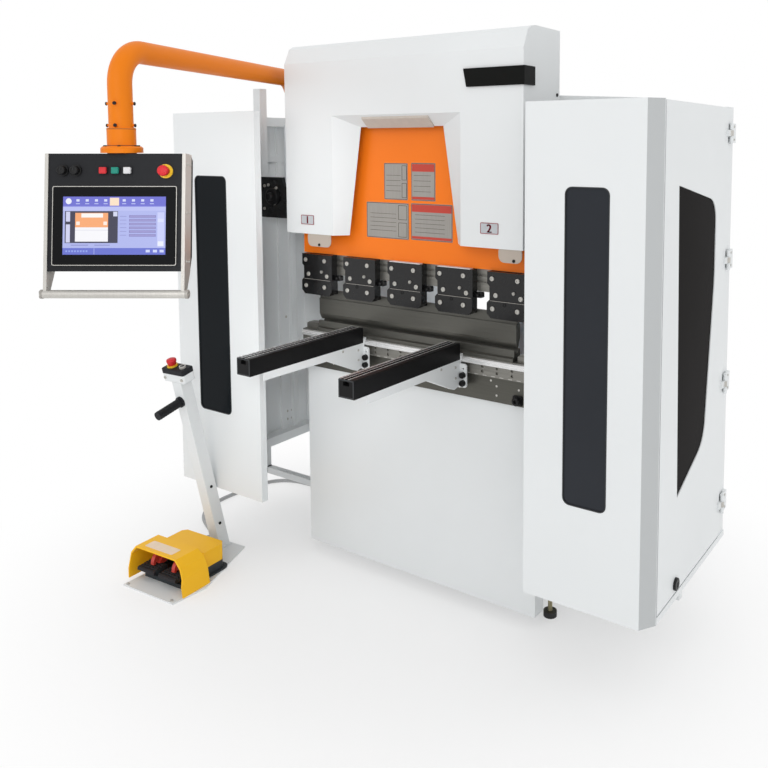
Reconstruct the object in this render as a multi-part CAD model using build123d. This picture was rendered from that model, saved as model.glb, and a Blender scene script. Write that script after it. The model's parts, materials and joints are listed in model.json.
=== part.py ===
from build123d import *
import math
import os

# A small hydraulic press brake with side guards, sheet supports, a control pendant and a foot pedal.
# Millimetres. X runs along the bend line, the operator stands on the -Y side, Z is up, the floor is Z = 0.
os.makedirs("parts", exist_ok=True)

# Running fits.
RUN_GAP = 0.4              # sliding faces and rods
PIN_GAP = 0.3              # hinge pins in their knuckles
SAFE_GAP = 8.0             # moving pieces past fixed ones

# Bed and its cover sheet.
BED_HALF = 530.0           # half the bend line
BED_FOOT = 42.0            # underside of the front panel above the floor
BED_TOP = 782.0            # top of the front panel
SHEET = 4.0                # folded cover sheet
PANEL_RETURN = 60.0        # side flanges of the front panel
PLATE_INSET = 12.0         # bed plate inside the panel's flanges
PLATE_LOW = BED_FOOT + 28.0

# Ground bar on the bed, with the rail that the sheet supports run on.
BAR_STEP = BED_TOP + 90.0
BAR_TOP = BED_TOP + 153.0
BAR_FRONT = -26.0
BAR_LOW_FRONT = -12.0
BAR_REAR = 40.0
HOLE_PITCH = 60.0
HOLE_R = 5.5
STOP_LONG = 62.0           # die stops at both ends of the bar
STOP_HIGH = 24.0
STOP_END = 6.0             # from the bar's end
RAIL_OUT = 14.0
RAIL_HIGH = 20.0

# Tools, all centred on the bend plane.
TOOL_Y = 5.0
DIE_HIGH = 40.0
DIE_WIDE = 60.0
DIE_HALF = BED_HALF - STOP_LONG - STOP_END - 10
DIE_NECK = 20.0            # half the die above its foot
DIE_OPEN = 13.0            # half the V
DIE_ANGLE = 88.0
PUNCH_HALF = DIE_HALF + 3.0
TOOL_SHUT = 4.0            # gap between punch tip and die at the lowest pose
PUNCH_TIP = BAR_TOP + DIE_HIGH + TOOL_SHUT

# Ram, holder bar and punch clamps.
RAM_THICK = 50.0
RAM_HALF = BED_HALF - 10
RAM_LOW = BAR_TOP + 310.0
RAM_SHOULDER = RAM_LOW + 355.0
RAM_CREST = RAM_SHOULDER + 190.0
CYL_X = BED_HALF - 110     # cylinders and piston rods
CREST_HALF = CYL_X - 100   # half the raised middle of the ram
RAM_FRONT = TOOL_Y - RAM_THICK / 2 - 1
STROKE = 150.0
HOLDER_THICK = 34.0
HOLDER_HIGH = 80.0
CLAMP_COUNT = 5
CLAMP_HIGH = 162.0
CLAMP_THICK = 30.0
CLAMP_WIDE = 158.0
CLAMP_PITCH = (2 * RAM_HALF - CLAMP_WIDE - 10) / (CLAMP_COUNT - 1)
CLAMP_SHIFT = 3.0          # the row sits a little right of centre
CLAMP_SPLIT = 100.0        # joint between the two clamp plates, below the ram
CLAMP_NOTCH = 9.0
CLAMP_CORNER = 16.0
CLAMP_PROUD = 3.0          # the lower clamp plate stands proud of the upper one
CLAMP_FRONT = TOOL_Y - HOLDER_THICK / 2 - CLAMP_THICK - CLAMP_PROUD

# Cylinders on the side frames.
ROD_R = 25.0
CYL_Y = RAM_FRONT + RAM_THICK / 2
CYL_R = 62.0
CYL_HIGH = 225.0
ROD_IN = 25.0              # rod inside its cylinder at the lowest pose
CYL_LOW = RAM_SHOULDER + STROKE + 20
CYL_TOP = CYL_LOW + CYL_HIGH

# Front hood over the ram.
HOOD_HALF = BED_HALF + 2
HOOD_FRONT = -100.0
HOOD_REAR = 147.0
HOOD_LOW = RAM_LOW + 86
HOOD_TOP = RAM_CREST + STROKE + 116
HOOD_RIDGE = HOOD_TOP - 36         # where the sloping strip starts to round over
HOOD_HIGH = HOOD_TOP - 75          # top of the flat front
HOOD_RIDGE_Y = HOOD_FRONT + 18
HOOD_ROUND = 58.0
RECESS_HALF = HOOD_HALF - 242      # recess at the hood's face, and at its top corners
RECESS_TOP = HOOD_TOP - 276
RECESS_BACK_LOW = RECESS_HALF - 41
RECESS_BACK_HIGH = RECESS_HALF - 103
RECESS_BACK_TOP = RECESS_TOP - 43
RECESS_BACK_Y = CLAMP_FRONT - SAFE_GAP
BADGE_LOW = HOOD_TOP - 194
BADGE_HIGH = 60.0
BADGE_LONG = 226.0
BADGE_PROUD = 8.0
LAMP_HALF = RECESS_BACK_HIGH - 37

# Side frames and what joins them at the back.
FRAME_X = BED_HALF - 130   # inner face of each side frame
FRAME_THICK = 40.0
FRAME_OUT = FRAME_X + FRAME_THICK
FRAME_FRONT = 54.0
FRAME_REAR = 760.0
FRAME_LOW = 60.0
FRAME_CREST = HOOD_TOP - 236       # top of the frames behind the hood
FRAME_CORNER = 180.0
THROAT_DEEP = 205.0
THROAT_LOW = BED_TOP + 130
THROAT_HIGH = RAM_LOW + 95
THROAT_ROUND = 60.0
GUIDE_HIGH = 295.0
CABINET_HIGH = 560.0
CABINET_IN = 270.0
CABINET_PROUD = 30.0
COVER_LOW = 80.0
COVER_HIGH = THROAT_LOW - 12
VENT_WIDE = 240.0
VENT_HIGH = 200.0
DOOR_PROUD = 5.0
FOOT_R = 24.0
STUD_R = 8.0
FOOT_X = FRAME_OUT + 93
FOOT_FRONT_Y = 107.0
FOOT_REAR_Y = FRAME_REAR - 70

# Side guards, drawn on the right. The left one is wider.
GUARD_IN_RIGHT = HOOD_HALF + 80
GUARD_OUT_RIGHT = GUARD_IN_RIGHT + 383
GUARD_IN_LEFT = HOOD_HALF + 34
GUARD_OUT_LEFT = GUARD_IN_LEFT + 478
BEVEL_RUN = 34.0           # bevel strip, in X
GUARD_FRONT = -228.0
GUARD_BEVEL_Y = GUARD_FRONT + 52
GUARD_REAR = 496.0
GUARD_LOW = 271.0
GUARD_HIGH = HOOD_TOP - 256
GUARD_SHEET = 3.0
GUARD_FLANGE = 30.0
RAIL = 40.0                # square rails of the guard frame
WINDOW_RIGHT = (GUARD_IN_RIGHT + 135, GUARD_OUT_RIGHT - 107)
WINDOW_LEFT = (GUARD_IN_LEFT + 166, GUARD_OUT_LEFT - 125)
WINDOW_LOW = GUARD_LOW + 321
WINDOW_HIGH = GUARD_HIGH - 251
WINDOW_ROUND = 22.0
PANE = 4.0
PANE_LIP = 12.0
DOOR_DEEP = 20.0
DOOR_GAP = 6.0
SILL = 20.0
HINGE_Y = 440.0
HINGE_OUT = 7.0            # hinge axis outside the door's face
HINGE_PIN = 3.0
HINGE_R = 7.0
KNUCKLE = 22.0
HINGE_COUNT = 4
HINGE_FIRST = GUARD_LOW + 138
HINGE_LAST = GUARD_HIGH - 89
LOCK_Y = -16.0             # door lock
LOCK_R = 19.0
STIFF_Y = HINGE_Y - 71     # upright inside the door
STIFF_WIDE = 32.0
GLASS_FRONT = -53.0        # side window
GLASS_FRONT_LOW = -16.0
GLASS_REAR = 314.0
GLASS_REAR_LOW = 238.0
GLASS_TOP = GUARD_HIGH - 247
GLASS_LOW = GUARD_LOW + 326
TIE_HIGH = 45.0            # diagonal tie from the side frame to the guard's top
REAR_OPEN = GUARD_HIGH + TIE_HIGH + 3      # the hood's rear wall stops above the ties
OUTRIGGER_Y = 200.0
OUTRIGGER_Z = 170.0
OUTRIGGER_HALF = 14.0

# Sheet supports.
ARM_WIDE = 62.0
ARM_HIGH = 58.0
ARM_FRONT = -600.0
ARM_TOP = BAR_TOP + 45
ARM_LEFT, ARM_RIGHT = -225.0, 220.0
HOOK_THICK = 6.0
ARM_REAR = BAR_FRONT - RAIL_OUT - RUN_GAP - HOOK_THICK
SLOT_MOUTH = 9.0
SLOT_ROOM = 24.0

# Swivel column and pendant.
TUBE_R = 34.0
TUBE_BEND = 100.0
TUBE_Z = HOOD_TOP - 109
SWING_X, SWING_Y = -(HOOD_HALF + 168), 115.0
DROP_X, DROP_Y = SWING_X + 359, -930.0
COLUMN_R = 45.0
COLUMN_LONG = 290.0
POST_TOP = TUBE_Z - TUBE_BEND - 90
SPIGOT_LONG = 60.0
BOX_WIDE = 404.0
BOX_HIGH = 338.0
BOX_DEEP = 86.0
BOX_TOP = TUBE_Z - 300
BOX_TURN = 33.1            # the pendant faces the operator
BOX_TILT = 6.5             # and looks a little up
BOX_DROP = 6.0             # tilted body below its turntable
BAR_WIDE = 10.0            # side bars of the pendant
HANDLE_DROP = 65.0
HANDLE_R = 12.0
COLLAR_R = 40.0
COLLAR_LONG = 73.0
FLANGE_R = 58.0
FLANGE_THICK = 19.0
STUB_LONG = 75.0           # clamping screws of the tube above the collar

# Upright channel on its black carrier plate, beside the left end of the ram.
CARRIER_Y = SWING_Y - 35
CARRIER_LOW = POST_TOP - 392
CARRIER_HIGH = CARRIER_LOW + 171
CHANNEL_X, CHANNEL_WIDE = SWING_X - 210, 40.0
CHANNEL_TOP = CARRIER_LOW + 547

# Foot pedal stand, drawn with its front towards -Y and its post at the origin.
PEDAL_X, PEDAL_Y = -857.0, -197.0
PEDAL_TURN = 3.8
PLATE_THICK = 6.0
PLATE_OUTLINE = [(-90, -405), (182, -405), (201, -265), (96, 39), (-60, 39)]
POST_LEAN = 13.4
POST_WIDE = 50.0
POST_LONG = 770.0
GRIP_R = 17.0
GRIP_LONG = 115.0
GRIP_DOWN = 82.0
SWITCH_LEFT, SWITCH_RIGHT = -66.0, 50.0
SWITCH_HALF = 27.0
SWITCH_HIGH = 36.0
LID_HIGH = 20.0
STOP_X = -32.0             # red button on the lid
COVER_LEFT, COVER_RIGHT = -114.0, 190.0
COVER_FRONT, COVER_BACK = -362.0, -235.0
COVER_TOP = 128.0
COVER_WALL = 5.0
HOUSING_LEFT, HOUSING_RIGHT = -76.0, 150.0
HOUSING_BACK = -108.0
HOUSING_TOP = 108.0
BASE_HIGH = 44.0
PEDAL_PIN_Y, PEDAL_PIN_Z = -214.0, 62.0
PEDAL_PIN_R = 6.0
PEDAL_WIDE = 92.0
PEDAL_LEFT, PEDAL_RIGHT = -32.0, 84.0
PEDAL_FRONT = -134.0       # front edge of each pad from the pin

# Conduit from the stand to the machine, on the floor.
CONDUIT_R = 9.0
CONDUIT_END = -FRAME_OUT - 25
CONDUIT = [(-896.6, -294.8, 52), (-899, -258, 47), (-908, -222, 34), (-930, -184, 19), (-968, -152, 9.8),
           (-1016, -128, 9.5), (-1064, -108, 9.5), (-1118, -78, 9.5), (-1166, -30, 9.5), (-1196, 33, 9.5),
           (-1206, 105, 9.5), (-1203, 180, 9.5), (-1196, 245, 9.5), (-1186, 310, 9.5), (-1165, 370, 9.5),
           (-1120, 415, 9.5), (-1060, 440, 9.5), (-995, 448, 9.5), (-930, 450, 9.5), (-862, 458, 9.5),
           (-795, 470, 9.5), (-728, 480, 9.5), (-660, 482, 9.5), (CONDUIT_END - 135, 480, 14),
           (CONDUIT_END - 80, 480, 30), (CONDUIT_END - 35, 480, 52), (CONDUIT_END, 480, 66)]
GLAND_R = 14.0


def block(x0, x1, y0, y1, z0, z1):
    """A rectangular solid between two corners."""
    return Pos((x0 + x1) / 2, (y0 + y1) / 2, (z0 + z1) / 2) * Box(abs(x1 - x0), abs(y1 - y0), abs(z1 - z0))


def yz_plate(points, x0, x1):
    """A plate cut to an outline in the YZ plane, from x0 to x1."""
    face = Face(Wire.make_polygon([(x0, y, z) for y, z in points], close=True))
    return extrude(face, amount=x1 - x0, dir=(1, 0, 0))


def xz_plate(points, y0, y1):
    """A plate cut to an outline in the XZ plane, from y0 to y1."""
    face = Face(Wire.make_polygon([(x, y0, z) for x, z in points], close=True))
    return extrude(face, amount=y1 - y0, dir=(0, 1, 0))


def xy_plate(points, z0, z1):
    """A plate cut to an outline in the XY plane, from z0 to z1."""
    face = Face(Wire.make_polygon([(x, y, z0) for x, y in points], close=True))
    return extrude(face, amount=z1 - z0, dir=(0, 0, 1))


def rod(x, y, z0, z1, r):
    """An upright round bar."""
    return Pos(x, y, (z0 + z1) / 2) * Cylinder(r, z1 - z0)


def rod_x(x0, x1, y, z, r):
    """A round bar along X."""
    return Pos((x0 + x1) / 2, y, z) * Rot(0, 90, 0) * Cylinder(r, abs(x1 - x0))


def rod_y(x, y0, y1, z, r):
    """A round bar along Y."""
    return Pos(x, (y0 + y1) / 2, z) * Rot(90, 0, 0) * Cylinder(r, abs(y1 - y0))


def rounded_xz(x0, x1, z0, z1, r, y0, y1):
    """A plate in the XZ plane with round corners."""
    plane = Plane(origin=((x0 + x1) / 2, y0, (z0 + z1) / 2), x_dir=(1, 0, 0), z_dir=(0, -1, 0))
    return extrude(plane * RectangleRounded(x1 - x0, z1 - z0, r), amount=y1 - y0, dir=(0, 1, 0))


def mirrored(shape):
    """The same piece on the other side of the machine."""
    return mirror(shape, about=Plane.YZ)


def side_frame():
    """C-shaped frame plate with its throat open to the front."""
    front, rear, top = FRAME_FRONT, FRAME_REAR, HOOD_TOP - SHEET
    step = HOOD_REAR - SHEET - 1
    body = yz_plate([(front, FRAME_LOW), (rear, FRAME_LOW), (rear, FRAME_CREST - FRAME_CORNER / 1.5),
                     (rear - FRAME_CORNER, FRAME_CREST), (step, FRAME_CREST), (step, top), (front + 20, top),
                     (front + 20, THROAT_HIGH + 300), (front, THROAT_HIGH + 300)], FRAME_X, FRAME_OUT)
    throat = block(FRAME_X - 1, FRAME_OUT + 1, front - 1, front + THROAT_DEEP, THROAT_LOW, THROAT_HIGH)
    throat = fillet(throat.edges().filter_by(Axis.X).group_by(Axis.Y)[-1], THROAT_ROUND)
    return body - throat


def bed_table():
    """Bed plate that carries the ground bar and the die."""
    half = BED_HALF - PLATE_INSET
    return block(-half, half, SHEET, FRAME_FRONT, PLATE_LOW, BAR_STEP)


def table_bar():
    """Ground bar on the bed plate, with two rows of set-screw holes and a die stop at each end."""
    bar = block(-BED_HALF, BED_HALF, BAR_LOW_FRONT, SHEET, BED_TOP, BAR_STEP)
    bar += block(-BED_HALF, BED_HALF, BAR_FRONT, BAR_REAR, BAR_STEP, BAR_TOP)
    end = BED_HALF - STOP_END
    stop = block(end - STOP_LONG, end, TOOL_Y - 14, TOOL_Y + 28, BAR_TOP, BAR_TOP + STOP_HIGH)
    stop = chamfer(stop.edges().group_by(Axis.Z)[-1], 5)
    bar += stop
    bar += mirrored(stop)
    count = int(2 * (BED_HALF - 20) // HOLE_PITCH)
    for k in range(count + 1):
        x = -count * HOLE_PITCH / 2 + k * HOLE_PITCH
        for z in (BAR_STEP + 16, BAR_STEP + 34):
            bar -= rod_y(x, BAR_FRONT - 1, BAR_FRONT + 6, z, HOLE_R)
    return bar


def guide_rail():
    """Bright linear rail that the sheet supports run on."""
    half, top = BED_HALF - 8, BAR_TOP - 2
    rail = block(-half, half, BAR_FRONT - RAIL_OUT, BAR_FRONT, top - RAIL_HIGH, top)
    return chamfer(rail.edges().filter_by(Axis.X).group_by(Axis.Y)[0], 2)


def front_panel():
    """White folded sheet over the front of the bed."""
    face = block(-BED_HALF, BED_HALF, 0, SHEET, BED_FOOT, BED_TOP)
    side = block(BED_HALF - SHEET, BED_HALF, 0, PANEL_RETURN, BED_FOOT, BED_TOP)
    return face + side + mirrored(side)


def lower_die():
    """Single V die seated on the bar."""
    half, neck, v = DIE_WIDE / 2, DIE_NECK, DIE_OPEN
    deep = v / math.tan(math.radians(DIE_ANGLE / 2))
    top, foot = BAR_TOP + DIE_HIGH, BAR_TOP + 12
    y = TOOL_Y
    return yz_plate([(y - half, BAR_TOP), (y + half, BAR_TOP), (y + half, foot), (y + neck, foot + 4),
                     (y + neck, top), (y + v, top), (y, top - deep), (y - v, top), (y - neck, top),
                     (y - neck, foot + 4), (y - half, foot)], -DIE_HALF, DIE_HALF)


def ram():
    """Moving beam with its raised middle and its two piston rods."""
    half, crest = RAM_HALF, CREST_HALF
    plate = xz_plate([(-half, RAM_LOW), (half, RAM_LOW), (half, RAM_SHOULDER), (crest + 25, RAM_SHOULDER),
                      (crest, RAM_SHOULDER + 40), (crest, RAM_CREST), (-crest, RAM_CREST),
                      (-crest, RAM_SHOULDER + 40), (-crest - 25, RAM_SHOULDER), (-half, RAM_SHOULDER)],
                     RAM_FRONT, RAM_FRONT + RAM_THICK)
    for x in (-CYL_X, CYL_X):
        plate += rod(x, CYL_Y, RAM_SHOULDER, CYL_LOW + ROD_IN, ROD_R)
    return plate


def cylinder(x):
    """Hydraulic cylinder bolted to the front of the side frame."""
    body = rod(x, CYL_Y, CYL_LOW, CYL_TOP, CYL_R)
    flange = block(x - 55, x + 55, CYL_Y, FRAME_FRONT + 20, CYL_LOW, CYL_TOP - 20)
    bore = rod(x, CYL_Y, CYL_LOW - 1, CYL_LOW + ROD_IN + STROKE + 20, ROD_R + RUN_GAP)
    return body + flange - bore


def ram_guides():
    """Slideways between the side frames and the back of the ram."""
    z0 = THROAT_HIGH + 5
    guide = block(FRAME_X, FRAME_OUT, RAM_FRONT + RAM_THICK + RUN_GAP, FRAME_FRONT, z0, z0 + GUIDE_HIGH)
    return guide + mirrored(guide)


def clamp_bar():
    """Grooved steel holder bar under the ram."""
    y0 = TOOL_Y - HOLDER_THICK / 2
    bar = block(-RAM_HALF + 14, RAM_HALF - 14, y0, y0 + HOLDER_THICK, RAM_LOW - HOLDER_HIGH, RAM_LOW)
    for z in (RAM_LOW - 26, RAM_LOW - 48):
        bar -= block(-RAM_HALF, RAM_HALF, y0 - 1, y0 + 5, z, z + 8)
    return bar


def clamp(k):
    """One two-piece punch clamp: an upper plate, a proud lower plate and the jaw behind them."""
    x0 = -CLAMP_WIDE / 2 + CLAMP_SHIFT + (k - CLAMP_COUNT // 2) * CLAMP_PITCH
    x1 = x0 + CLAMP_WIDE
    y1 = TOOL_Y - HOLDER_THICK / 2
    y0 = y1 - CLAMP_THICK
    top, low, split = RAM_LOW, RAM_LOW - CLAMP_HIGH, RAM_LOW - CLAMP_SPLIT
    n, c = CLAMP_NOTCH, CLAMP_CORNER
    upper = xz_plate([(x0, top - 2), (x1, top - 2), (x1, split), (x0 + n, split), (x0 + n, top - 52),
                      (x0, top - 44)], y0, y1)
    lower = xz_plate([(x0 + n, split), (x1, split), (x1, low + c), (x1 - c, low), (x0 + c, low), (x0, low + c),
                      (x0, split - n)], y0 - CLAMP_PROUD, y1)
    jaw = block(x0 + 6, x1 - 6, y1, TOOL_Y - 8, low + 4, RAM_LOW - HOLDER_HIGH)
    return upper + lower + jaw


def punch():
    """Straight punch with its tang held behind the clamps."""
    tip, y = PUNCH_TIP, TOOL_Y
    shoulder = RAM_LOW - CLAMP_HIGH - 20
    top = shoulder + 34
    return yz_plate([(y - 7.5, top), (y + 7.5, top), (y + 7.5, shoulder), (y + 14, shoulder),
                     (y + 14, tip + 34), (y + 9, tip + 22), (y + 0.8, tip), (y - 0.8, tip), (y - 8, tip + 14),
                     (y - 12, tip + 24), (y - 12, shoulder), (y - 7.5, shoulder)], -PUNCH_HALF, PUNCH_HALF)


def hood_profile(inset):
    """Side outline of the hood, drawn in by the sheet, and open behind its lower half."""
    i = inset
    front, rear = HOOD_FRONT + i, HOOD_REAR - i
    outline = [(front, HOOD_LOW - (1 if i else 0)), (front, HOOD_HIGH - i / 2),
               (HOOD_RIDGE_Y + i * 0.9, HOOD_RIDGE - i * 0.4)]
    y0, z0 = outline[-1]
    high, deep = HOOD_TOP - i - z0, HOOD_ROUND - i * 0.9
    for turn in (30, 60, 90):
        a = math.radians(turn)
        outline.append((y0 + deep * (1 - math.cos(a)), z0 + high * math.sin(a)))
    outline.append((rear, HOOD_TOP - i))
    if i:
        outline += [(rear, REAR_OPEN), (HOOD_REAR + 1, REAR_OPEN), (HOOD_REAR + 1, HOOD_LOW - 1)]
    else:
        outline += [(rear, HOOD_LOW)]
    return outline


def trapezoid(low_half, top_half, top_z, y, low_z):
    """Face across the recess at depth y."""
    return Face(Wire.make_polygon([(-low_half, y, low_z), (low_half, y, low_z), (top_half, y, top_z),
                                   (-top_half, y, top_z)], close=True))


def funnel(grow, y_front, y_back):
    """Tapering recess body between the hood's face and the ram."""
    span = RECESS_BACK_Y - HOOD_FRONT

    def at(y):
        t = (y - HOOD_FRONT) / span
        low = RECESS_HALF + (RECESS_BACK_LOW - RECESS_HALF) * t + grow
        top = RECESS_HALF + (RECESS_BACK_HIGH - RECESS_HALF) * t + grow
        high = RECESS_TOP + (RECESS_BACK_TOP - RECESS_TOP) * t + grow
        return trapezoid(low, top, high, y, HOOD_LOW - (0 if grow else 2))

    return loft([at(y_front), at(y_back)])


def hood():
    """White folded hood with the tapering window recess over the ram."""
    outer = yz_plate(hood_profile(0), -HOOD_HALF, HOOD_HALF)
    inner = yz_plate(hood_profile(SHEET), -HOOD_HALF + SHEET, HOOD_HALF - SHEET)
    shell = outer - inner
    shell += funnel(SHEET, HOOD_FRONT, RECESS_BACK_Y)
    return shell - funnel(0, HOOD_FRONT - 1, RECESS_BACK_Y + 1)


def hood_badge():
    """Bare black strip wrapped round the hood's right front corner."""
    z0, z1 = BADGE_LOW, BADGE_LOW + BADGE_HIGH
    x1 = HOOD_HALF + BADGE_PROUD
    x0 = HOOD_HALF - BADGE_LONG
    front = xz_plate([(x0, z1), (x0 + 12, z0), (x1, z0), (x1, z1)], HOOD_FRONT - BADGE_PROUD, HOOD_FRONT)
    return front + block(HOOD_HALF, x1, HOOD_FRONT, HOOD_FRONT + 62, z0, z1)


def hood_lamp():
    """Flat work lamp under the sloping top of the recess."""
    slope = (RECESS_BACK_TOP - RECESS_TOP) / (RECESS_BACK_Y - HOOD_FRONT)
    y0, y1 = HOOD_FRONT + 8, RECESS_BACK_Y - 4
    z0, z1 = RECESS_TOP + slope * 8, RECESS_BACK_TOP - slope * 4
    return yz_plate([(y0, z0), (y1, z1), (y1, z1 - 8), (y0, z0 - 8)], -LAMP_HALF, LAMP_HALF)


def top_beam():
    """Cross member between the side frames, inside the hood."""
    y1 = HOOD_REAR - SHEET - 3
    return block(-FRAME_X, FRAME_X, FRAME_FRONT + 21, y1, REAR_OPEN + 2, HOOD_TOP - SHEET - 10)


def rear_cabinet():
    """Electrical and oil cabinet between the side frames, with two doors and a ledge under them."""
    rear = FRAME_REAR + CABINET_PROUD
    z0, z1 = FRAME_CREST - CABINET_HIGH, FRAME_CREST
    body = block(-FRAME_X, FRAME_X, rear - CABINET_IN, rear - DOOR_PROUD, z0, z1)
    for s in (-1, 1):
        body += block(s * 6, s * (FRAME_X - 14), rear - DOOR_PROUD, rear, z0 + 24, z1 - 24)
    body += block(-FRAME_X, FRAME_X, rear - DOOR_PROUD, rear + 2, z0, z0 + 10)
    return body


def rear_panel():
    """Lower rear cover sheet with two ribs and a vent block."""
    panel = block(-FRAME_X, FRAME_X, FRAME_REAR - 20, FRAME_REAR - 16, COVER_LOW, COVER_HIGH)
    for z in (COVER_LOW, COVER_HIGH - 26):
        panel += block(-FRAME_X, FRAME_X, FRAME_REAR - 60, FRAME_REAR - 20, z, z + 26)
    x0, z1 = -FRAME_X + 90, COVER_HIGH - 130
    return panel + block(x0, x0 + VENT_WIDE, FRAME_REAR - 16, FRAME_REAR - 4, z1 - VENT_HIGH, z1)


def levelling_feet():
    """Four rubber pads on zinc studs, each under a bracket on the side frame."""
    feet = None
    for s in (-1, 1):
        for y in (FOOT_FRONT_Y, FOOT_REAR_Y):
            foot = rod(s * FOOT_X, y, 0, 20, FOOT_R) + rod(s * FOOT_X, y, 20, FRAME_LOW + 10, STUD_R)
            foot += block(s * FRAME_OUT, s * (FOOT_X + 20), y - 26, y + 26, FRAME_LOW + 10, FRAME_LOW + 22)
            feet = foot if feet is None else feet + foot
    return feet


def guard_front(inner, outer, window):
    """Front guard panel with its window, bevel strip and return flange."""
    t, y = GUARD_SHEET, GUARD_FRONT
    run_y = GUARD_BEVEL_Y - y
    length = math.hypot(BEVEL_RUN, run_y)
    nx, ny = run_y / length * t, BEVEL_RUN / length * t
    side = outer + BEVEL_RUN
    outline = [(inner, y), (outer, y), (side, GUARD_BEVEL_Y), (side - nx, GUARD_BEVEL_Y + ny),
               (outer - nx / 2, y + t), (inner + t, y + t), (inner + t, y + GUARD_FLANGE),
               (inner, y + GUARD_FLANGE)]
    panel = xy_plate(outline, GUARD_LOW, GUARD_HIGH)
    return panel - rounded_xz(*window, WINDOW_LOW, WINDOW_HIGH, WINDOW_ROUND, y - 5, y + t + 5)


def guard_window(window):
    """Dark pane behind the window of the front guard."""
    lip = PANE_LIP
    y = GUARD_FRONT + GUARD_SHEET
    x0, x1 = window[0] - lip, window[1] + lip
    return rounded_xz(x0, x1, WINDOW_LOW - lip, WINDOW_HIGH + lip, WINDOW_ROUND + 8, y, y + PANE)


def guard_frame(inner, outer):
    """Welded posts, rails, sill, rear sheet, top tie and outrigger that carry the guard."""
    side = outer + BEVEL_RUN
    hinge_x = side + HINGE_OUT
    y0 = GUARD_FRONT + GUARD_SHEET
    r0, r1 = outer - 20 - RAIL, outer - 20
    frame = block(side - 44, side - 4, HINGE_Y - 4, GUARD_REAR, GUARD_LOW, GUARD_HIGH)
    for z in (GUARD_LOW + 4, GUARD_HIGH - 4 - RAIL):
        frame += block(r0, r1, y0, HINGE_Y + 20, z, z + RAIL)
        frame += block(r0, side - 40, HINGE_Y + 20 - RAIL, GUARD_REAR, z, z + RAIL)
        frame += block(inner + 10, r1, y0, y0 + 30, z, z + RAIL)
    frame += block(FRAME_OUT, side - 44, GUARD_REAR - 10, GUARD_REAR, GUARD_LOW, GUARD_HIGH)
    frame += block(r1 - 1, side, GUARD_BEVEL_Y + 3, GUARD_BEVEL_Y + 33, GUARD_LOW + 4, GUARD_LOW + SILL)
    frame += block(side - DOOR_DEEP, side, GUARD_BEVEL_Y + 3, GUARD_REAR, GUARD_LOW, GUARD_LOW + SILL)
    low, high = OUTRIGGER_Z - OUTRIGGER_HALF, OUTRIGGER_Z + OUTRIGGER_HALF
    frame += block(FRAME_OUT, r1, OUTRIGGER_Y - 15, OUTRIGGER_Y + 15, low, high)
    frame += block(r1 - 30, r1, OUTRIGGER_Y - 15, OUTRIGGER_Y + 15, high, GUARD_LOW + 10)
    start, end = FRAME_FRONT + 24, HOOD_HALF + 213
    frame += xy_plate([(FRAME_OUT, start), (end, GUARD_REAR - 6), (end, GUARD_REAR), (end - 36, GUARD_REAR),
                       (FRAME_OUT, start + 46)], GUARD_HIGH - 3, GUARD_HIGH - 3 + TIE_HIGH)
    for z in hinge_heights():
        frame += hinge_fixed(z, side, hinge_x)
    return frame


def hinge_heights():
    """Hinges, evenly spaced up the post."""
    pitch = (HINGE_LAST - HINGE_FIRST) / (HINGE_COUNT - 1)
    return [HINGE_FIRST + k * pitch for k in range(HINGE_COUNT)]


def hinge_fixed(z, side, hinge_x):
    """Outer knuckles and pin, on the post."""
    low = rod(hinge_x, HINGE_Y, z - 1.5 * KNUCKLE, z - 0.5 * KNUCKLE - 1, HINGE_R)
    high = rod(hinge_x, HINGE_Y, z + 0.5 * KNUCKLE + 1, z + 1.5 * KNUCKLE, HINGE_R)
    pin = rod(hinge_x, HINGE_Y, z - 1.5 * KNUCKLE, z + 1.5 * KNUCKLE, HINGE_PIN)
    leaf = block(hinge_x - HINGE_R, hinge_x - 1, HINGE_Y, GUARD_REAR, z - 1.5 * KNUCKLE, z + 1.5 * KNUCKLE)
    leaf += block(side - 5, hinge_x - 1, GUARD_REAR - 20, GUARD_REAR, z - 1.5 * KNUCKLE, z + 1.5 * KNUCKLE)
    room = rod(hinge_x, HINGE_Y, z - 0.5 * KNUCKLE - 1, z + 0.5 * KNUCKLE + 1, HINGE_R + 3)
    return low + high + (leaf - room) + pin


def side_glass(grow, x0, x1):
    """Slanted side window with its round rear corners, grown all round."""
    corners = [(GLASS_FRONT, GLASS_TOP, 3), (GLASS_REAR, GLASS_TOP - 65, 75),
               (GLASS_REAR, GLASS_TOP - 323, 450), (GLASS_REAR_LOW, GLASS_LOW + 103, 110),
               (GLASS_FRONT_LOW, GLASS_LOW, 3)]
    cy = sum(c[0] for c in corners) / len(corners)
    cz = sum(c[1] for c in corners) / len(corners)
    wide = 1 + 2 * grow / (GLASS_REAR - GLASS_FRONT)
    high = 1 + 2 * grow / (GLASS_TOP - GLASS_LOW)
    points = [(cy + (y - cy) * wide, cz + (z - cz) * high) for y, z, r in corners]
    plate = yz_plate(points, x0, x1)
    for (y, z), (_, _, r) in zip(points, corners):
        edge = plate.edges().filter_by(Axis.X).sort_by_distance(((x0 + x1) / 2, y, z))[0]
        plate = fillet(edge, r)
    return plate


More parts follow.
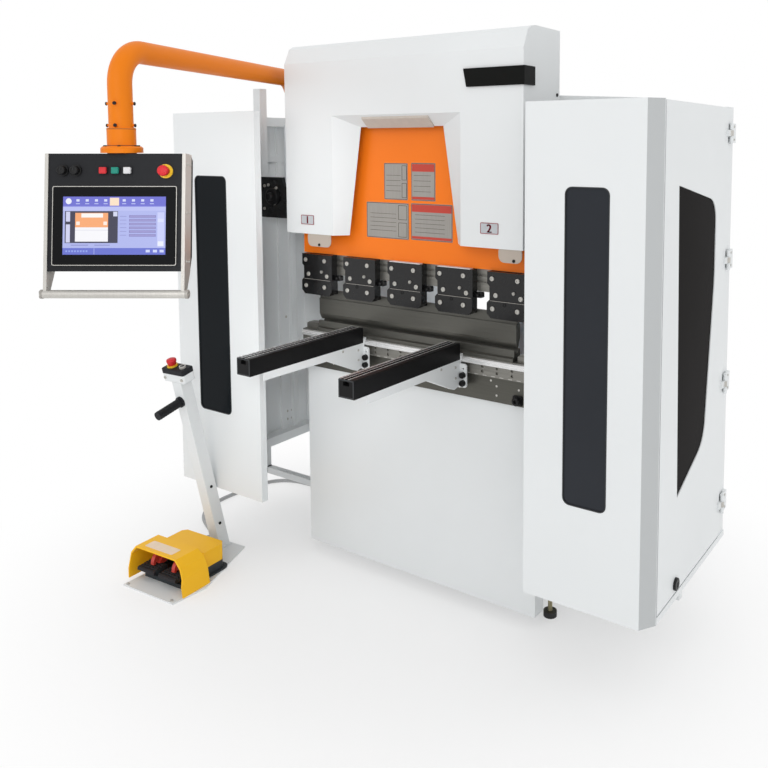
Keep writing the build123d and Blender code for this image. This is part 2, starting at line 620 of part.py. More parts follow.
def guard_door(outer, glazed):
    """Side door: a folded tray with stiffeners inside, on four hinges at its rear edge."""
    x1 = outer + BEVEL_RUN
    hinge_x = x1 + HINGE_OUT
    y0, y1 = GUARD_BEVEL_Y + 7, HINGE_Y - 12
    z0, z1 = GUARD_LOW + SILL + DOOR_GAP, GUARD_HIGH - 3
    t = GUARD_SHEET
    door = block(x1 - DOOR_DEEP, x1, y0, y1, z0, z1)
    door -= block(x1 - DOOR_DEEP - 1, x1 - t, y0 + t, y1 - t, z0 + t, z1 - t)
    door += block(x1 - 15, x1 - t, STIFF_Y - STIFF_WIDE / 2, STIFF_Y + STIFF_WIDE / 2, z0 + t, z1 - t)
    door += block(x1 - 15, x1 - t, y0 + t, y1 - t, GLASS_TOP + 40, GLASS_TOP + 40 + STIFF_WIDE)
    if glazed:
        door -= side_glass(0, x1 - 10, x1 + 5)
    for z in hinge_heights():
        leaf = block(x1 - t, hinge_x, y1 - 20, HINGE_Y, z - KNUCKLE / 2, z + KNUCKLE / 2)
        leaf -= block(x1 - t - 1, x1, y1, HINGE_Y + 1, z - KNUCKLE, z + KNUCKLE)
        knuckle = rod(hinge_x, HINGE_Y, z - KNUCKLE / 2, z + KNUCKLE / 2, HINGE_R)
        bore = rod(hinge_x, HINGE_Y, z - KNUCKLE, z + KNUCKLE, HINGE_PIN + PIN_GAP)
        door = door + leaf + knuckle - bore
    return door + rod_x(x1, x1 + 7, LOCK_Y, z0 + 28, LOCK_R)


def door_window(outer):
    """Dark pane behind the side window."""
    x = outer + BEVEL_RUN - GUARD_SHEET
    return side_glass(PANE_LIP, x - PANE, x)


def support_arm(x):
    """Black profile with a T-slot along its top."""
    w, m, r, z = ARM_WIDE / 2, SLOT_MOUTH / 2, SLOT_ROOM / 2, ARM_TOP
    c = 3.0
    return xz_plate([(x - w, z - ARM_HIGH), (x + w, z - ARM_HIGH), (x + w, z - c), (x + w - c, z), (x + m, z),
                     (x + m, z - 8), (x + r, z - 8), (x + r, z - 20), (x - r, z - 20), (x - r, z - 8),
                     (x - m, z - 8), (x - m, z), (x - w + c, z), (x - w, z - c)], ARM_FRONT, ARM_REAR)


def arm_bracket(x):
    """Tapered white sheet bracket, with the hook and the knob plate that ride on the rail."""
    x1 = x + ARM_WIDE / 2
    t = SHEET
    z = ARM_TOP - ARM_HIGH
    low = z - 100
    start = ARM_FRONT + 58
    web = yz_plate([(ARM_REAR, z), (ARM_REAR, z - 90), (ARM_REAR - 35, low), (ARM_REAR - 195, z - 28),
                    (start, z - 26), (start, z)], x1 - t, x1)
    lip = yz_plate([(ARM_REAR - 35, low), (ARM_REAR - 195, z - 28), (ARM_REAR - 195, z - 24),
                    (ARM_REAR - 35, low + 4)], x1 - 24, x1)
    shelf = block(x - ARM_WIDE / 2 + 2, x1, start, ARM_REAR, z - t, z)
    left, right = x - 20, x1 + 26
    plate = block(left, x1, ARM_REAR, ARM_REAR + HOOK_THICK, low, BAR_TOP + 6)
    ear = rounded_xz(x1 - 20, right, low + 2, low + 86, 8, ARM_REAR, ARM_REAR + HOOK_THICK)
    ear -= rod_y(x1 + 13, ARM_REAR - 1, ARM_REAR + HOOK_THICK + 1, low + 69, 3.5)
    shoe = block(left, x1, ARM_REAR + HOOK_THICK, BAR_LOW_FRONT - RUN_GAP, low, low + 40)
    hook = block(left, x1, ARM_REAR + HOOK_THICK, BAR_FRONT - 2, BAR_TOP - 2 + RUN_GAP, BAR_TOP + 6)
    knobs = None
    for dz in (18, 47):
        knob = rod_y(x1 + 13, ARM_REAR - 11, ARM_REAR, low + dz, 9)
        knobs = knob if knobs is None else knobs + knob
    return web + lip + shelf + plate + ear + shoe + hook + knobs


def arm_post():
    """Swivel column on two flat brackets from the left side frame."""
    column = rod(SWING_X, SWING_Y, POST_TOP - COLUMN_LONG, POST_TOP, COLUMN_R)
    behind = HOOD_REAR + 4
    for down in (COLUMN_LONG - 30, 130):
        z = POST_TOP - down
        column += xy_plate([(SWING_X - 30, SWING_Y - 25), (SWING_X + 62, SWING_Y - 25),
                            (-HOOD_HALF - 20, behind), (-FRAME_OUT, behind), (-FRAME_OUT, behind + 60),
                            (SWING_X - 30, behind + 30)], z, z + 16)
    return column + rod(SWING_X, SWING_Y, POST_TOP, POST_TOP + SPIGOT_LONG, TUBE_R - 8)


def carrier_plate():
    """Black plate clamped on the swivel column."""
    y0, y1 = CARRIER_Y - 22, CARRIER_Y
    x0, x1 = CHANNEL_X - 6, SWING_X + 40
    plate = xz_plate([(x0, CARRIER_LOW), (x1, CARRIER_LOW), (x1, CARRIER_HIGH - 92),
                      (x1 - 12, CARRIER_HIGH - 58), (x1 - 52, CARRIER_HIGH - 30), (x1 - 64, CARRIER_HIGH),
                      (x0, CARRIER_HIGH)], y0, y1)
    return plate - rod(SWING_X, SWING_Y, POST_TOP - COLUMN_LONG, POST_TOP, COLUMN_R)


def carrier_channel():
    """Upright folded channel on the carrier plate."""
    x0, x1 = CHANNEL_X, CHANNEL_X + CHANNEL_WIDE
    y0, y1 = CARRIER_Y, CARRIER_Y + CHANNEL_WIDE - 2
    z0, z1 = CARRIER_LOW + 6, CHANNEL_TOP
    t = GUARD_SHEET
    return block(x0, x1, y0, y1, z0, z1) - block(x0 + t, x1 - t, y0 + t, y1 + 1, z0 - 1, z1 + 1)


def pendant_arm():
    """Bent steel tube from the swivel column over the guard and down to the pendant."""
    low = BOX_TOP + RUN_GAP
    path = FilletPolyline((SWING_X, SWING_Y, POST_TOP + RUN_GAP), (SWING_X, SWING_Y, TUBE_Z),
                          (DROP_X, DROP_Y, TUBE_Z), (DROP_X, DROP_Y, low + FLANGE_THICK), radius=TUBE_BEND)
    start = Plane(origin=(SWING_X, SWING_Y, POST_TOP + RUN_GAP), z_dir=(0, 0, 1))
    tube = sweep(start * Circle(TUBE_R), path=path)
    tube -= rod(SWING_X, SWING_Y, POST_TOP - 1, POST_TOP + SPIGOT_LONG + 2, TUBE_R - 8 + RUN_GAP)
    collar = rod(DROP_X, DROP_Y, low + FLANGE_THICK, low + COLLAR_LONG, COLLAR_R)
    collar = chamfer(collar.edges().group_by(Axis.Z)[-1], 2)
    flange = rod(DROP_X, DROP_Y, low, low + FLANGE_THICK, FLANGE_R)
    arm = tube + collar + chamfer(flange.edges().group_by(Axis.Z)[-1], 5)
    for up in (COLLAR_LONG + 7, COLLAR_LONG + STUB_LONG - 5):
        for turn in range(4):
            stub = Pos(TUBE_R + 1, 0, up) * Rot(0, 90, 0) * Cylinder(4, 12)
            arm += Pos(DROP_X, DROP_Y, low) * Rot(0, 0, BOX_TURN + 90 * turn) * stub
    return arm


def place_box(shape):
    """From the pendant's own frame, front towards -Y, to its place: tilted up, turned and hung."""
    tilted = Pos(0, 0, BOX_TOP - BOX_DROP) * Rot(-BOX_TILT, 0, 0) * Pos(0, 0, -BOX_TOP) * shape
    return Pos(DROP_X, DROP_Y, 0) * Rot(0, 0, BOX_TURN) * tilted


def pendant_box():
    """Console housing, with its top corners cut off behind the front."""
    w, z1, z0, y = BOX_WIDE / 2 - BAR_WIDE, BOX_TOP, BOX_TOP - BOX_HIGH, BOX_DEEP / 2
    body = yz_plate([(-y, z0), (y - 14, z0), (y, z0 + 40), (y, z1 - 14), (y - 14, z1), (-y, z1)], -w, w)
    return place_box(body) + rod(DROP_X, DROP_Y, BOX_TOP - 14, BOX_TOP, FLANGE_R - 18)


def pendant_screen():
    """Glass front of the screen, set on the console face."""
    y = -BOX_DEEP / 2
    return place_box(rounded_xz(-178, 178, BOX_TOP - 321, BOX_TOP - 94, 5, y - 4, y))


def pendant_handle():
    """Silver side bars of the console, with the tube handle between their lower ends."""
    w, y = BOX_WIDE / 2, -BOX_DEEP / 2
    z = BOX_TOP - BOX_HIGH - HANDLE_DROP
    tube = rod_x(-w - 6, w + 6, y + 4, z, HANDLE_R)
    for s in (-1, 1):
        tube += block(s * (w - BAR_WIDE), s * w, y - 3, y + 45, BOX_TOP - BOX_HIGH, BOX_TOP)
        bar = yz_plate([(y - 3, BOX_TOP - BOX_HIGH), (y + 45, BOX_TOP - BOX_HIGH), (y + 14, z - 6),
                        (y - 3, z - 6)], 0, BAR_WIDE)
        tube += Pos(w - BAR_WIDE if s > 0 else -w, 0, 0) * bar
    return place_box(tube)


def pendant_buttons():
    """Two knobs and three square push buttons in the upper band."""
    z, y = BOX_TOP - 49, -BOX_DEEP / 2
    parts = None
    for x in (-150, -113):
        knob = rod_y(x, y - 5, y, z, 14) + rod_y(x, y - 17, y - 5, z, 11)
        parts = knob if parts is None else parts + knob
    for x in (-34, 1, 36):
        parts += block(x - 12, x + 12, y - 3, y, z - 12, z + 12)
        parts += block(x - 10, x + 10, y - 9, y - 3, z - 9, z + 9)
    return place_box(parts)


def pendant_stop():
    """Emergency stop button of the console."""
    z, y = BOX_TOP - 51, -BOX_DEEP / 2
    button = rod_y(145, y - 4, y, z, 19) + rod_y(145, y - 20, y - 4, z, 9)
    return place_box(button + rod_y(145, y - 30, y - 20, z, 14))


def place_pedal(shape):
    """From the stand's own frame to its place on the floor."""
    return Pos(PEDAL_X, PEDAL_Y, 0) * Rot(0, 0, PEDAL_TURN) * shape


def leaning(shape):
    """Tilt with the top towards the operator, drawn upright on the origin."""
    return Pos(0, 0, PLATE_THICK) * Rot(POST_LEAN, 0, 0) * shape


def pedal_plate():
    """Tapered steel floor plate."""
    return place_pedal(xy_plate(PLATE_OUTLINE, 0, PLATE_THICK))


def pedal_post():
    """Square post that leans towards the operator."""
    w = POST_WIDE / 2
    post = leaning(block(-w, w, -w, w, -12, POST_LONG))
    return place_pedal(post - block(-200, 200, -300, 300, -100, PLATE_THICK))


def stand_grip():
    """Round drag handle on the front of the post."""
    w = POST_WIDE / 2
    z = POST_LONG - GRIP_DOWN
    grip = rod_y(0, -w - GRIP_LONG, -w, z, GRIP_R) + rod_y(0, -w - 8, -w, z, GRIP_R + 5)
    return place_pedal(leaning(grip))


def switch_body(grow, z0, z1):
    """Rounded block of the switch box, tall from z0 to z1."""
    body = block(SWITCH_LEFT - grow, SWITCH_RIGHT + grow, -SWITCH_HALF - grow, SWITCH_HALF + grow, z0, z1)
    return fillet(body.edges().filter_by(Axis.Z), 7)


def switch_box():
    """Small switch box on top of the post."""
    box = switch_body(0, POST_LONG, POST_LONG + SWITCH_HIGH)
    return place_pedal(leaning(fillet(box.edges().group_by(Axis.Z)[0], 5)))


def switch_cover():
    """Black lid of the switch box with a small push button."""
    z = POST_LONG + SWITCH_HIGH
    lid = switch_body(1, z, z + LID_HIGH)
    lid = fillet(lid.edges().group_by(Axis.Z)[-1], 3)
    return place_pedal(leaning(lid + rod(STOP_X + 57, 0, z + LID_HIGH, z + LID_HIGH + 8, 12)))


def switch_stop():
    """Red mushroom button on its collar."""
    z = POST_LONG + SWITCH_HIGH + LID_HIGH
    head = revolve(Face(Wire.make_polygon([(0, 0, z + 6), (14, 0, z + 6), (17.5, 0, z + 20), (18.5, 0, z + 25),
                                           (15, 0, z + 29), (0, 0, z + 30)], close=True)), Axis.Z)
    return place_pedal(leaning(Pos(STOP_X, 0, 0) * head + rod(STOP_X, 0, z, z + 6, 20)))


def cover_outline(inset):
    """Front view of the pedal cover, drawn in by its wall."""
    i = inset
    x0, x1, top = COVER_LEFT + i, COVER_RIGHT - i, COVER_TOP - i
    low = PLATE_THICK if i == 0 else PLATE_THICK - 1
    return [(x0, low), (x1, low), (x1 - 10, 70), (x1 - 28, top - 24), (x1 - 62, top), (x0 + 20, top),
            (x0, top - 26)]


def housing(grow, y0, z0, z1):
    """Block of the rear housing with its back corners cut off, drawn in by a negative grow."""
    body = block(HOUSING_LEFT - grow, HOUSING_RIGHT + grow, y0, HOUSING_BACK + grow, z0, z1)
    return chamfer(body.edges().filter_by(Axis.Z).group_by(Axis.Y)[-1], 26)


def pedal_cover():
    """Yellow cover, open to the front, with the lower housing behind it."""
    w = COVER_WALL
    shell = xz_plate(cover_outline(0), COVER_FRONT, COVER_BACK)
    y, z = COVER_FRONT - 1, COVER_TOP + 1
    roof_cut = yz_plate([(y, 40), (y + 23, z), (y, z)], COVER_LEFT - 1, COVER_RIGHT + 1)
    rear = housing(0, COVER_BACK, BASE_HIGH, HOUSING_TOP)
    rear = chamfer(rear.edges().group_by(Axis.Z)[-1].filter_by(Axis.X), 10)
    shell = shell - roof_cut + rear
    shell -= xz_plate(cover_outline(w), COVER_FRONT - 1, COVER_BACK - w)
    return place_pedal(shell - housing(-w, COVER_BACK - w - 1, 0, HOUSING_TOP - w))


def pedal_block():
    """Cast base under the pedals, with a rim below the rear housing and the posts of the cross pin."""
    w = COVER_WALL + 3
    x0, x1 = HOUSING_LEFT + w, HOUSING_RIGHT - w
    base = block(x0, x1, COVER_FRONT + 40, COVER_BACK, PLATE_THICK, 22)
    rim = housing(0, COVER_BACK, PLATE_THICK, BASE_HIGH)
    base += rim - housing(-w, COVER_BACK - 1, 22, BASE_HIGH + 1)
    middle = (PEDAL_LEFT + PEDAL_RIGHT) / 2
    for x in (x0, middle - 8, x1 - 16):
        base += block(x, x + 16, PEDAL_PIN_Y - 14, PEDAL_PIN_Y + 14, 22, PEDAL_PIN_Z + 12)
    return place_pedal(base + rod_x(x0, x1, PEDAL_PIN_Y, PEDAL_PIN_Z, PEDAL_PIN_R))


def pedal(x):
    """One treadle: a bent arm from the cross pin down to its foot pad."""
    y, z, w = PEDAL_PIN_Y, PEDAL_PIN_Z, PEDAL_WIDE / 2
    arm = yz_plate([(y + 12, z - 9), (y + 12, z + 9), (y - 30, z + 20), (y - 62, z + 14),
                    (y - 84, z - 8), (y - 84, z - 14), (y - 60, z - 8), (y - 30, z - 2)], x - 14, x + 14)
    front = y + PEDAL_FRONT
    pad = yz_plate([(y - 70, z - 22), (y - 70, z - 6), (front + 8, z - 10), (front, z - 16), (front + 6, z - 24)],
                   x - w, x + w)
    bore = rod_x(x - w, x + w, y, z, PEDAL_PIN_R + PIN_GAP)
    return place_pedal(arm + pad - bore)


def conduit():
    """Metal conduit as straight runs joined by tangent arcs."""
    points = [Vector(*p) for p in CONDUIT]
    radii = []
    for a, b, c in zip(points, points[1:], points[2:]):
        u, v = b - a, c - b
        turn = math.radians(u.get_angle(v))
        radii.append(0.45 * min(u.length, v.length) / math.tan(turn / 2))
    print("conduit radii", [round(r) for r in radii])
    path = FilletPolyline(*[tuple(p) for p in points], radius=radii)
    start = Plane(origin=points[0], z_dir=points[1] - points[0])
    tube = sweep(start * Circle(CONDUIT_R), path=path)
    want = math.pi * CONDUIT_R ** 2 * path.length
    print("conduit length %.0f volume ratio %.3f" % (path.length, tube.volume / want))
    return tube


def conduit_glands():
    """Hex gland on the pedal housing, and gland and socket block on the left side frame."""
    a, b = Vector(*CONDUIT[0]), Vector(*CONDUIT[1])
    start = Plane(origin=a, z_dir=(a - b).normalized())
    first = extrude(start * RegularPolygon(GLAND_R, 6), amount=16) - pedal_cover() - pedal_block()
    a, b = Vector(*CONDUIT[-1]), Vector(*CONDUIT[-2])
    end = Plane(origin=a, z_dir=(a - b).normalized())
    last = extrude(end * RegularPolygon(GLAND_R, 6), amount=18)
    last += block(a.X + 5, -FRAME_OUT, a.Y - 16, a.Y + 16, a.Z - 16, a.Z + 22)
    return first + last


def save(shape, name):
    export_step(shape, "parts/%s.step" % name)


save(side_frame(), "side_frame_right")
save(mirrored(side_frame()), "side_frame_left")
save(bed_table(), "bed_table")
save(table_bar(), "table_bar")
save(guide_rail(), "guide_rail")
save(front_panel(), "bed_front_panel")
save(lower_die(), "lower_die")
save(ram(), "ram")
save(cylinder(CYL_X), "cylinder_right")
save(cylinder(-CYL_X), "cylinder_left")
save(ram_guides(), "ram_guides")
save(clamp_bar(), "clamp_bar")
for k in range(CLAMP_COUNT):
    save(clamp(k), "clamp_%d" % (k + 1))
save(punch(), "punch")
save(hood(), "hood")
save(hood_badge(), "hood_badge")
save(hood_lamp(), "hood_lamp")
save(top_beam(), "top_beam")
save(rear_cabinet(), "rear_cabinet")
save(rear_panel(), "rear_panel")
save(levelling_feet(), "levelling_feet")
save(guard_front(GUARD_IN_RIGHT, GUARD_OUT_RIGHT, WINDOW_RIGHT), "guard_front_right")
save(guard_window(WINDOW_RIGHT), "guard_window_right")
save(guard_frame(GUARD_IN_RIGHT, GUARD_OUT_RIGHT), "guard_frame_right")
save(guard_door(GUARD_OUT_RIGHT, True), "guard_door_right")
save(door_window(GUARD_OUT_RIGHT), "door_window_right")
save(mirrored(guard_front(GUARD_IN_LEFT, GUARD_OUT_LEFT, WINDOW_LEFT)), "guard_front_left")
save(mirrored(guard_window(WINDOW_LEFT)), "guard_window_left")
save(mirrored(guard_frame(GUARD_IN_LEFT, GUARD_OUT_LEFT)), "guard_frame_left")
save(mirrored(guard_door(GUARD_OUT_LEFT, False)), "guard_door_left")
for x, side in ((ARM_LEFT, "left"), (ARM_RIGHT, "right")):
    save(support_arm(x), "support_arm_" + side)
    save(arm_bracket(x), "arm_bracket_" + side)
save(arm_post(), "arm_post")
save(carrier_plate(), "carrier_plate")
save(carrier_channel(), "carrier_channel")
save(pendant_arm(), "pendant_arm")
save(pendant_box(), "pendant_box")
save(pendant_screen(), "pendant_screen")
save(pendant_handle(), "pendant_handle")
save(pendant_buttons(), "pendant_buttons")
save(pendant_stop(), "pendant_stop")
save(pedal_plate(), "pedal_plate")
save(pedal_post(), "pedal_post")
save(stand_grip(), "stand_grip")
save(switch_box(), "switch_box")
save(switch_cover(), "switch_cover")
save(switch_stop(), "switch_stop")
save(pedal_cover(), "pedal_cover")
save(pedal_block(), "pedal_block")
save(pedal(PEDAL_LEFT), "pedal_left")
save(pedal(PEDAL_RIGHT), "pedal_right")
save(conduit(), "pedal_conduit")
save(conduit_glands(), "conduit_glands")
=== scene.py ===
# %% [markdown]
# # Dressing a small press brake
#
# The solids of this machine already come from the CAD frame, in metres, standing on the floor at Z = 0. X
# runs along the bend line and the operator stands on the -Y side. This lesson sets up the camera, gives
# every sheet, casting and tool its finish, lays the foot pedal's metal conduit, and adds the small things
# that a CAD solid leaves out: screws, seams, plates, gaskets and button caps.

# %% Load the frame
import json
import math

import bpy
import numpy as np
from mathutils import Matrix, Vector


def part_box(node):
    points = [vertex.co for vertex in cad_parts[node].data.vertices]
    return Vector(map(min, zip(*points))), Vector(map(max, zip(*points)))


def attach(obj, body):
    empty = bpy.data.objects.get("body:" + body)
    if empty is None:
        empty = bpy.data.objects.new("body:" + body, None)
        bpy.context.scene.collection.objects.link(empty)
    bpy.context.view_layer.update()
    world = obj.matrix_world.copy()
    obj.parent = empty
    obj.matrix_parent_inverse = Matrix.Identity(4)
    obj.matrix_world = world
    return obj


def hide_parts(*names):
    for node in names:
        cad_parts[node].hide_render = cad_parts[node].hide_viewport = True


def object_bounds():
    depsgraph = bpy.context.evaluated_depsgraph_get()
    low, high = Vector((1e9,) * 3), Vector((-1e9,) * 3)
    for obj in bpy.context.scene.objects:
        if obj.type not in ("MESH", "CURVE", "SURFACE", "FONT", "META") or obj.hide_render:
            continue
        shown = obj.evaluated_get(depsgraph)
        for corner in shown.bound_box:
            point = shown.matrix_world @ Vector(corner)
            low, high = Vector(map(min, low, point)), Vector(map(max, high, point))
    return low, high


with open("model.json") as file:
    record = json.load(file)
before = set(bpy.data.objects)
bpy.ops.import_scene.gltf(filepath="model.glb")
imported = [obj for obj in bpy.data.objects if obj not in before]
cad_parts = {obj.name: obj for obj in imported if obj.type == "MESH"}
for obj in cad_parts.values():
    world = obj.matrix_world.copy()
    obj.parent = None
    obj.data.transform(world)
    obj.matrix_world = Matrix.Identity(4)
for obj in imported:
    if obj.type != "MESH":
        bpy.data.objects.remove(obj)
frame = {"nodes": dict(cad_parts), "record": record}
cad_box = [list(map(float, corner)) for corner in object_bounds()]
nodes = frame["nodes"]
into_scene = bpy.context.scene.collection.objects.link
print("CAD box", cad_box, "nodes", len(nodes))

# %% [markdown]
# ## Camera
#
# The photograph was taken from the operator's right, at eye height, with a fairly wide lens. The lens and
# the place of the camera were worked out from the straight edges of the bed, the hood and the guards. The
# shift keeps the machine where the photograph has it without leaning its uprights.

# %% Camera
IMAGE = 768
SENSOR_MM = 36.0
FOCAL_PX = 818.9
CENTRE_PX = (474.9, 215.5)
EYE = (1.835, -2.375, 1.667)
TURN = math.radians(33.17)
DIP = math.radians(4.84)

camera_data = bpy.data.cameras.new("camera")
camera_data.sensor_width = SENSOR_MM
camera_data.lens = FOCAL_PX / IMAGE * SENSOR_MM
camera_data.shift_x = (IMAGE / 2 - CENTRE_PX[0]) / IMAGE
camera_data.shift_y = (CENTRE_PX[1] - IMAGE / 2) / IMAGE
camera = bpy.data.objects.new("camera", camera_data)
camera.location = EYE
camera.rotation_euler = (math.pi / 2 - DIP, 0.0, TURN)
into_scene(camera)
bpy.context.scene.camera = camera
print("lens %.1f mm, shift %.3f %.3f" % (camera_data.lens, camera_data.shift_x, camera_data.shift_y))

# %% [markdown]
# ## Shader maths as Python
#
# A material is a graph of nodes, but a formula is easier to read than a graph. The class below wraps a
# socket, so that an expression such as `1 - mask * 0.5` adds its own Math nodes. Colours are never sent
# through a Math node, because that would turn them grey: they go through Mix.

# %% Shader helper
class Value:
    """A socket that carries a number, with the operators that the finishes use."""

    def __init__(self, paint, socket):
        self.paint = paint
        self.socket = socket

    def _math(self, operation, first, second):
        return self.paint.node("ShaderNodeMath", {"operation": operation}, {0: first, 1: second})[0]

    def __add__(self, other):
        return self._math("ADD", self, other)

    def __sub__(self, other):
        return self._math("SUBTRACT", self, other)

    def __rsub__(self, other):
        return self._math("SUBTRACT", other, self)

    def __mul__(self, other):
        return self._math("MULTIPLY", self, other)

    def step(self, steep):
        """From 0 to 1 as the value passes 0, over 1 / steep."""
        scaled = self._math("MULTIPLY", self, steep)
        adding = {"operation": "ADD", "use_clamp": True}
        return self.paint.node("ShaderNodeMath", adding, {0: scaled, 1: 0.5})[0]

    def wave(self):
        return self._math("SINE", self, 0.0)

    def most(self, other):
        return self._math("MAXIMUM", self, other)

    def root(self):
        return self._math("SQRT", self, 0.0)


class Paint:
    """One material with its Principled shader."""

    def __init__(self, name, **fixed):
        self.material = bpy.data.materials.new(name)
        self.material.use_nodes = True
        self.tree = self.material.node_tree
        self.shader = self.tree.nodes["Principled BSDF"]
        for socket, value in fixed.items():
            self.shader.inputs[socket.replace("_", " ")].default_value = value

    def node(self, kind, settings, inputs):
        """Adds a node: its settings first, then the values or links of its sockets. Gives its outputs."""
        made = self.tree.nodes.new(kind)
        for key, value in settings.items():
            setattr(made, key, value)
        for key, value in inputs.items():
            if isinstance(value, Value):
                self.tree.links.new(value.socket, made.inputs[key])
            else:
                made.inputs[key].default_value = value
        return [Value(self, socket) for socket in made.outputs]

    def link(self, value, socket):
        self.tree.links.new(value.socket, self.shader.inputs[socket])

    def place(self, scale=(1.0, 1.0, 1.0)):
        """Object coordinates in metres, stretched by scale."""
        where = self.node("ShaderNodeTexCoord", {}, {})[3]
        return self.node("ShaderNodeMapping", {}, {"Vector": where, "Scale": scale})[0]

    def axis(self, which):
        """One coordinate of the object, in metres: 0 is X, 1 is Y, 2 is Z."""
        return self.node("ShaderNodeSeparateXYZ", {}, {0: self.place()})[which]

    def noise(self, scale, detail, stretch=(1.0, 1.0, 1.0)):
        """Smooth noise from 0 to 1."""
        return self.node("ShaderNodeTexNoise", {}, {"Vector": self.place(stretch), "Scale": scale,
                                                    "Detail": detail, "Roughness": 0.5})[0]

    def mix(self, factor, first, second):
        """Colour between first and second."""
        return self.node("ShaderNodeMix", {"data_type": "RGBA"}, {0: factor, 6: first, 7: second})[2]

    def colour(self, factor, first, second):
        """Base colour between first and second."""
        self.link(self.mix(factor, first, second), "Base Color")

    def rough(self, noise, least, spread):
        """Roughness = least + spread * noise."""
        self.link(noise * spread + least, "Roughness")

    def bump(self, height, distance, strength):
        self.link(self.node("ShaderNodeBump", {}, {"Height": height, "Distance": distance,
                                                   "Strength": strength})[0], "Normal")


def rgb(red, green, blue):
    """A linear colour from 8-bit screen values."""
    values = [c / 255 for c in (red, green, blue)]
    return tuple(c / 12.92 if c <= 0.04045 else ((c + 0.055) / 1.055) ** 2.4 for c in values) + (1.0,)


def shade(colour, factor):
    """The colour with its light scaled by factor."""
    return tuple(min(1.0, c * factor) for c in colour[:3]) + (1.0,)


print("shader helper ready")

# %% [markdown]
# ## Finishes
#
# Each function below makes one finish of the machine. Powder coat is not a flat colour: it has a fine
# orange-peel that breaks its highlights up and very slight changes of tone. Ground steel shows its grinding
# lines along the bar. Black oxide is nearly black, with a dull oily sheen that wears to grey. Where one
# solid has two finishes, such as the zinc stud over a rubber pad, a step in height chooses between them,
# and on a guard's folded edge a step in width chooses a greyer tone, which is painted shade.

# %% Painted and moulded finishes
# Scale and detail of the noises that all sprayed paint shares.
CLOUD = (2.2, 4.0)
PEEL = (900.0, 2.0)
PEEL_HEIGHT = 0.00012


def powder_coat(name, colour, rough=0.38, tone=0.93, shine=0.5):
    """Sprayed and baked paint. Tone = colour to a little darker by broad noise; height = fine noise."""
    paint = Paint(name, Roughness=rough, Specular_IOR_Level=shine, Coat_Weight=0.1 * shine)
    paint.colour(paint.noise(*CLOUD), colour, shade(colour, tone))
    paint.rough(paint.noise(14.0, 3.0), rough - 0.06, 0.12)
    paint.bump(paint.noise(*PEEL), PEEL_HEIGHT, 0.6)
    return paint.material


def coat_with_fold_shade(name, colour, fold_shade, edge_low, edge_high):
    """Powder coat with painted shade, a greyer tone, on the folded edge: (x - low).step * (high - x).step
    chooses it.
    """
    paint = Paint(name, Roughness=0.42, Coat_Weight=0.05, Coat_Roughness=0.25)
    x = paint.axis(0)
    edge = (x - edge_low).step(3000.0) * (edge_high - x).step(3000.0)
    paint.colour(edge, paint.mix(paint.noise(*CLOUD), colour, shade(colour, 0.95)), fold_shade)
    paint.rough(paint.noise(14.0, 3.0), 0.34, 0.12)
    paint.bump(paint.noise(*PEEL), PEEL_HEIGHT, 0.6)
    return paint.material


def moulded(name, colour, rough=0.5, grain=700.0, shine=0.28):
    """Moulded plastic or rubber with a fine leather-like grain."""
    paint = Paint(name, Roughness=rough, Specular_IOR_Level=shine)
    paint.colour(paint.noise(40.0, 3.0), colour, shade(colour, 0.82))
    paint.rough(paint.noise(60.0, 2.0), rough - 0.06, 0.12)
    paint.bump(paint.noise(grain, 1.0), 0.00008, 0.5)
    return paint.material


def smoked_pane(name, light, dark, shine):
    """Dark polycarbonate pane, glossy, with the faintest haze."""
    paint = Paint(name, Roughness=0.2, Specular_IOR_Level=shine)
    paint.colour(paint.noise(2.0, 2.0), light, dark)
    paint.rough(paint.noise(6.0, 2.0), 0.16, 0.1)
    paint.bump(paint.noise(300.0, 1.0), 0.00001, 0.3)
    return paint.material


print("paints and plastics ready")

# %% Steel finishes
PAD_TOP, STUD_TOP = 0.0202, 0.0698
THREAD = 4000.0


def ground_steel(name, colour, along, rough, metallic):
    """Ground bar: noise stretched along the bar gives the grinding lines in tone, gloss and height."""
    paint = Paint(name, Metallic=metallic, Roughness=rough)
    lines = paint.noise(260.0, 3.0, along)
    ground = paint.mix(lines, shade(colour, 0.74), colour)
    paint.colour(paint.noise(9.0, 4.0) * 0.35, ground, shade(colour, 0.6))
    paint.rough(lines, rough - 0.1, 0.25)
    paint.bump(lines, 0.00003, 0.5)
    return paint.material


def two_tone_steel(name, upper, lower, level, along, rough=0.38):
    """Ground steel above a height, and a darker milled face below it, stepped over two millimetres."""
    paint = Paint(name, Metallic=0.8, Roughness=rough)
    lines = paint.noise(240.0, 3.0, along)
    tone = paint.mix((paint.axis(2) - level).step(500.0), lower, upper)
    paint.colour(lines * 0.5, tone, shade(lower, 0.7))
    paint.rough(lines, rough - 0.08, 0.22)
    paint.bump(lines, 0.00004, 0.5)
    return paint.material


def black_oxide(name, colour, rough, shine):
    """Oiled black steel with faint grey wear."""
    paint = Paint(name, Roughness=rough, Specular_IOR_Level=shine)
    patches = paint.noise(30.0, 5.0)
    paint.colour((patches - 0.5) * 0.8, colour, shade(colour, 2.4))
    paint.rough(patches, rough - 0.1, 0.25)
    paint.bump(paint.noise(500.0, 2.0), 0.00006, 0.5)
    return paint.material


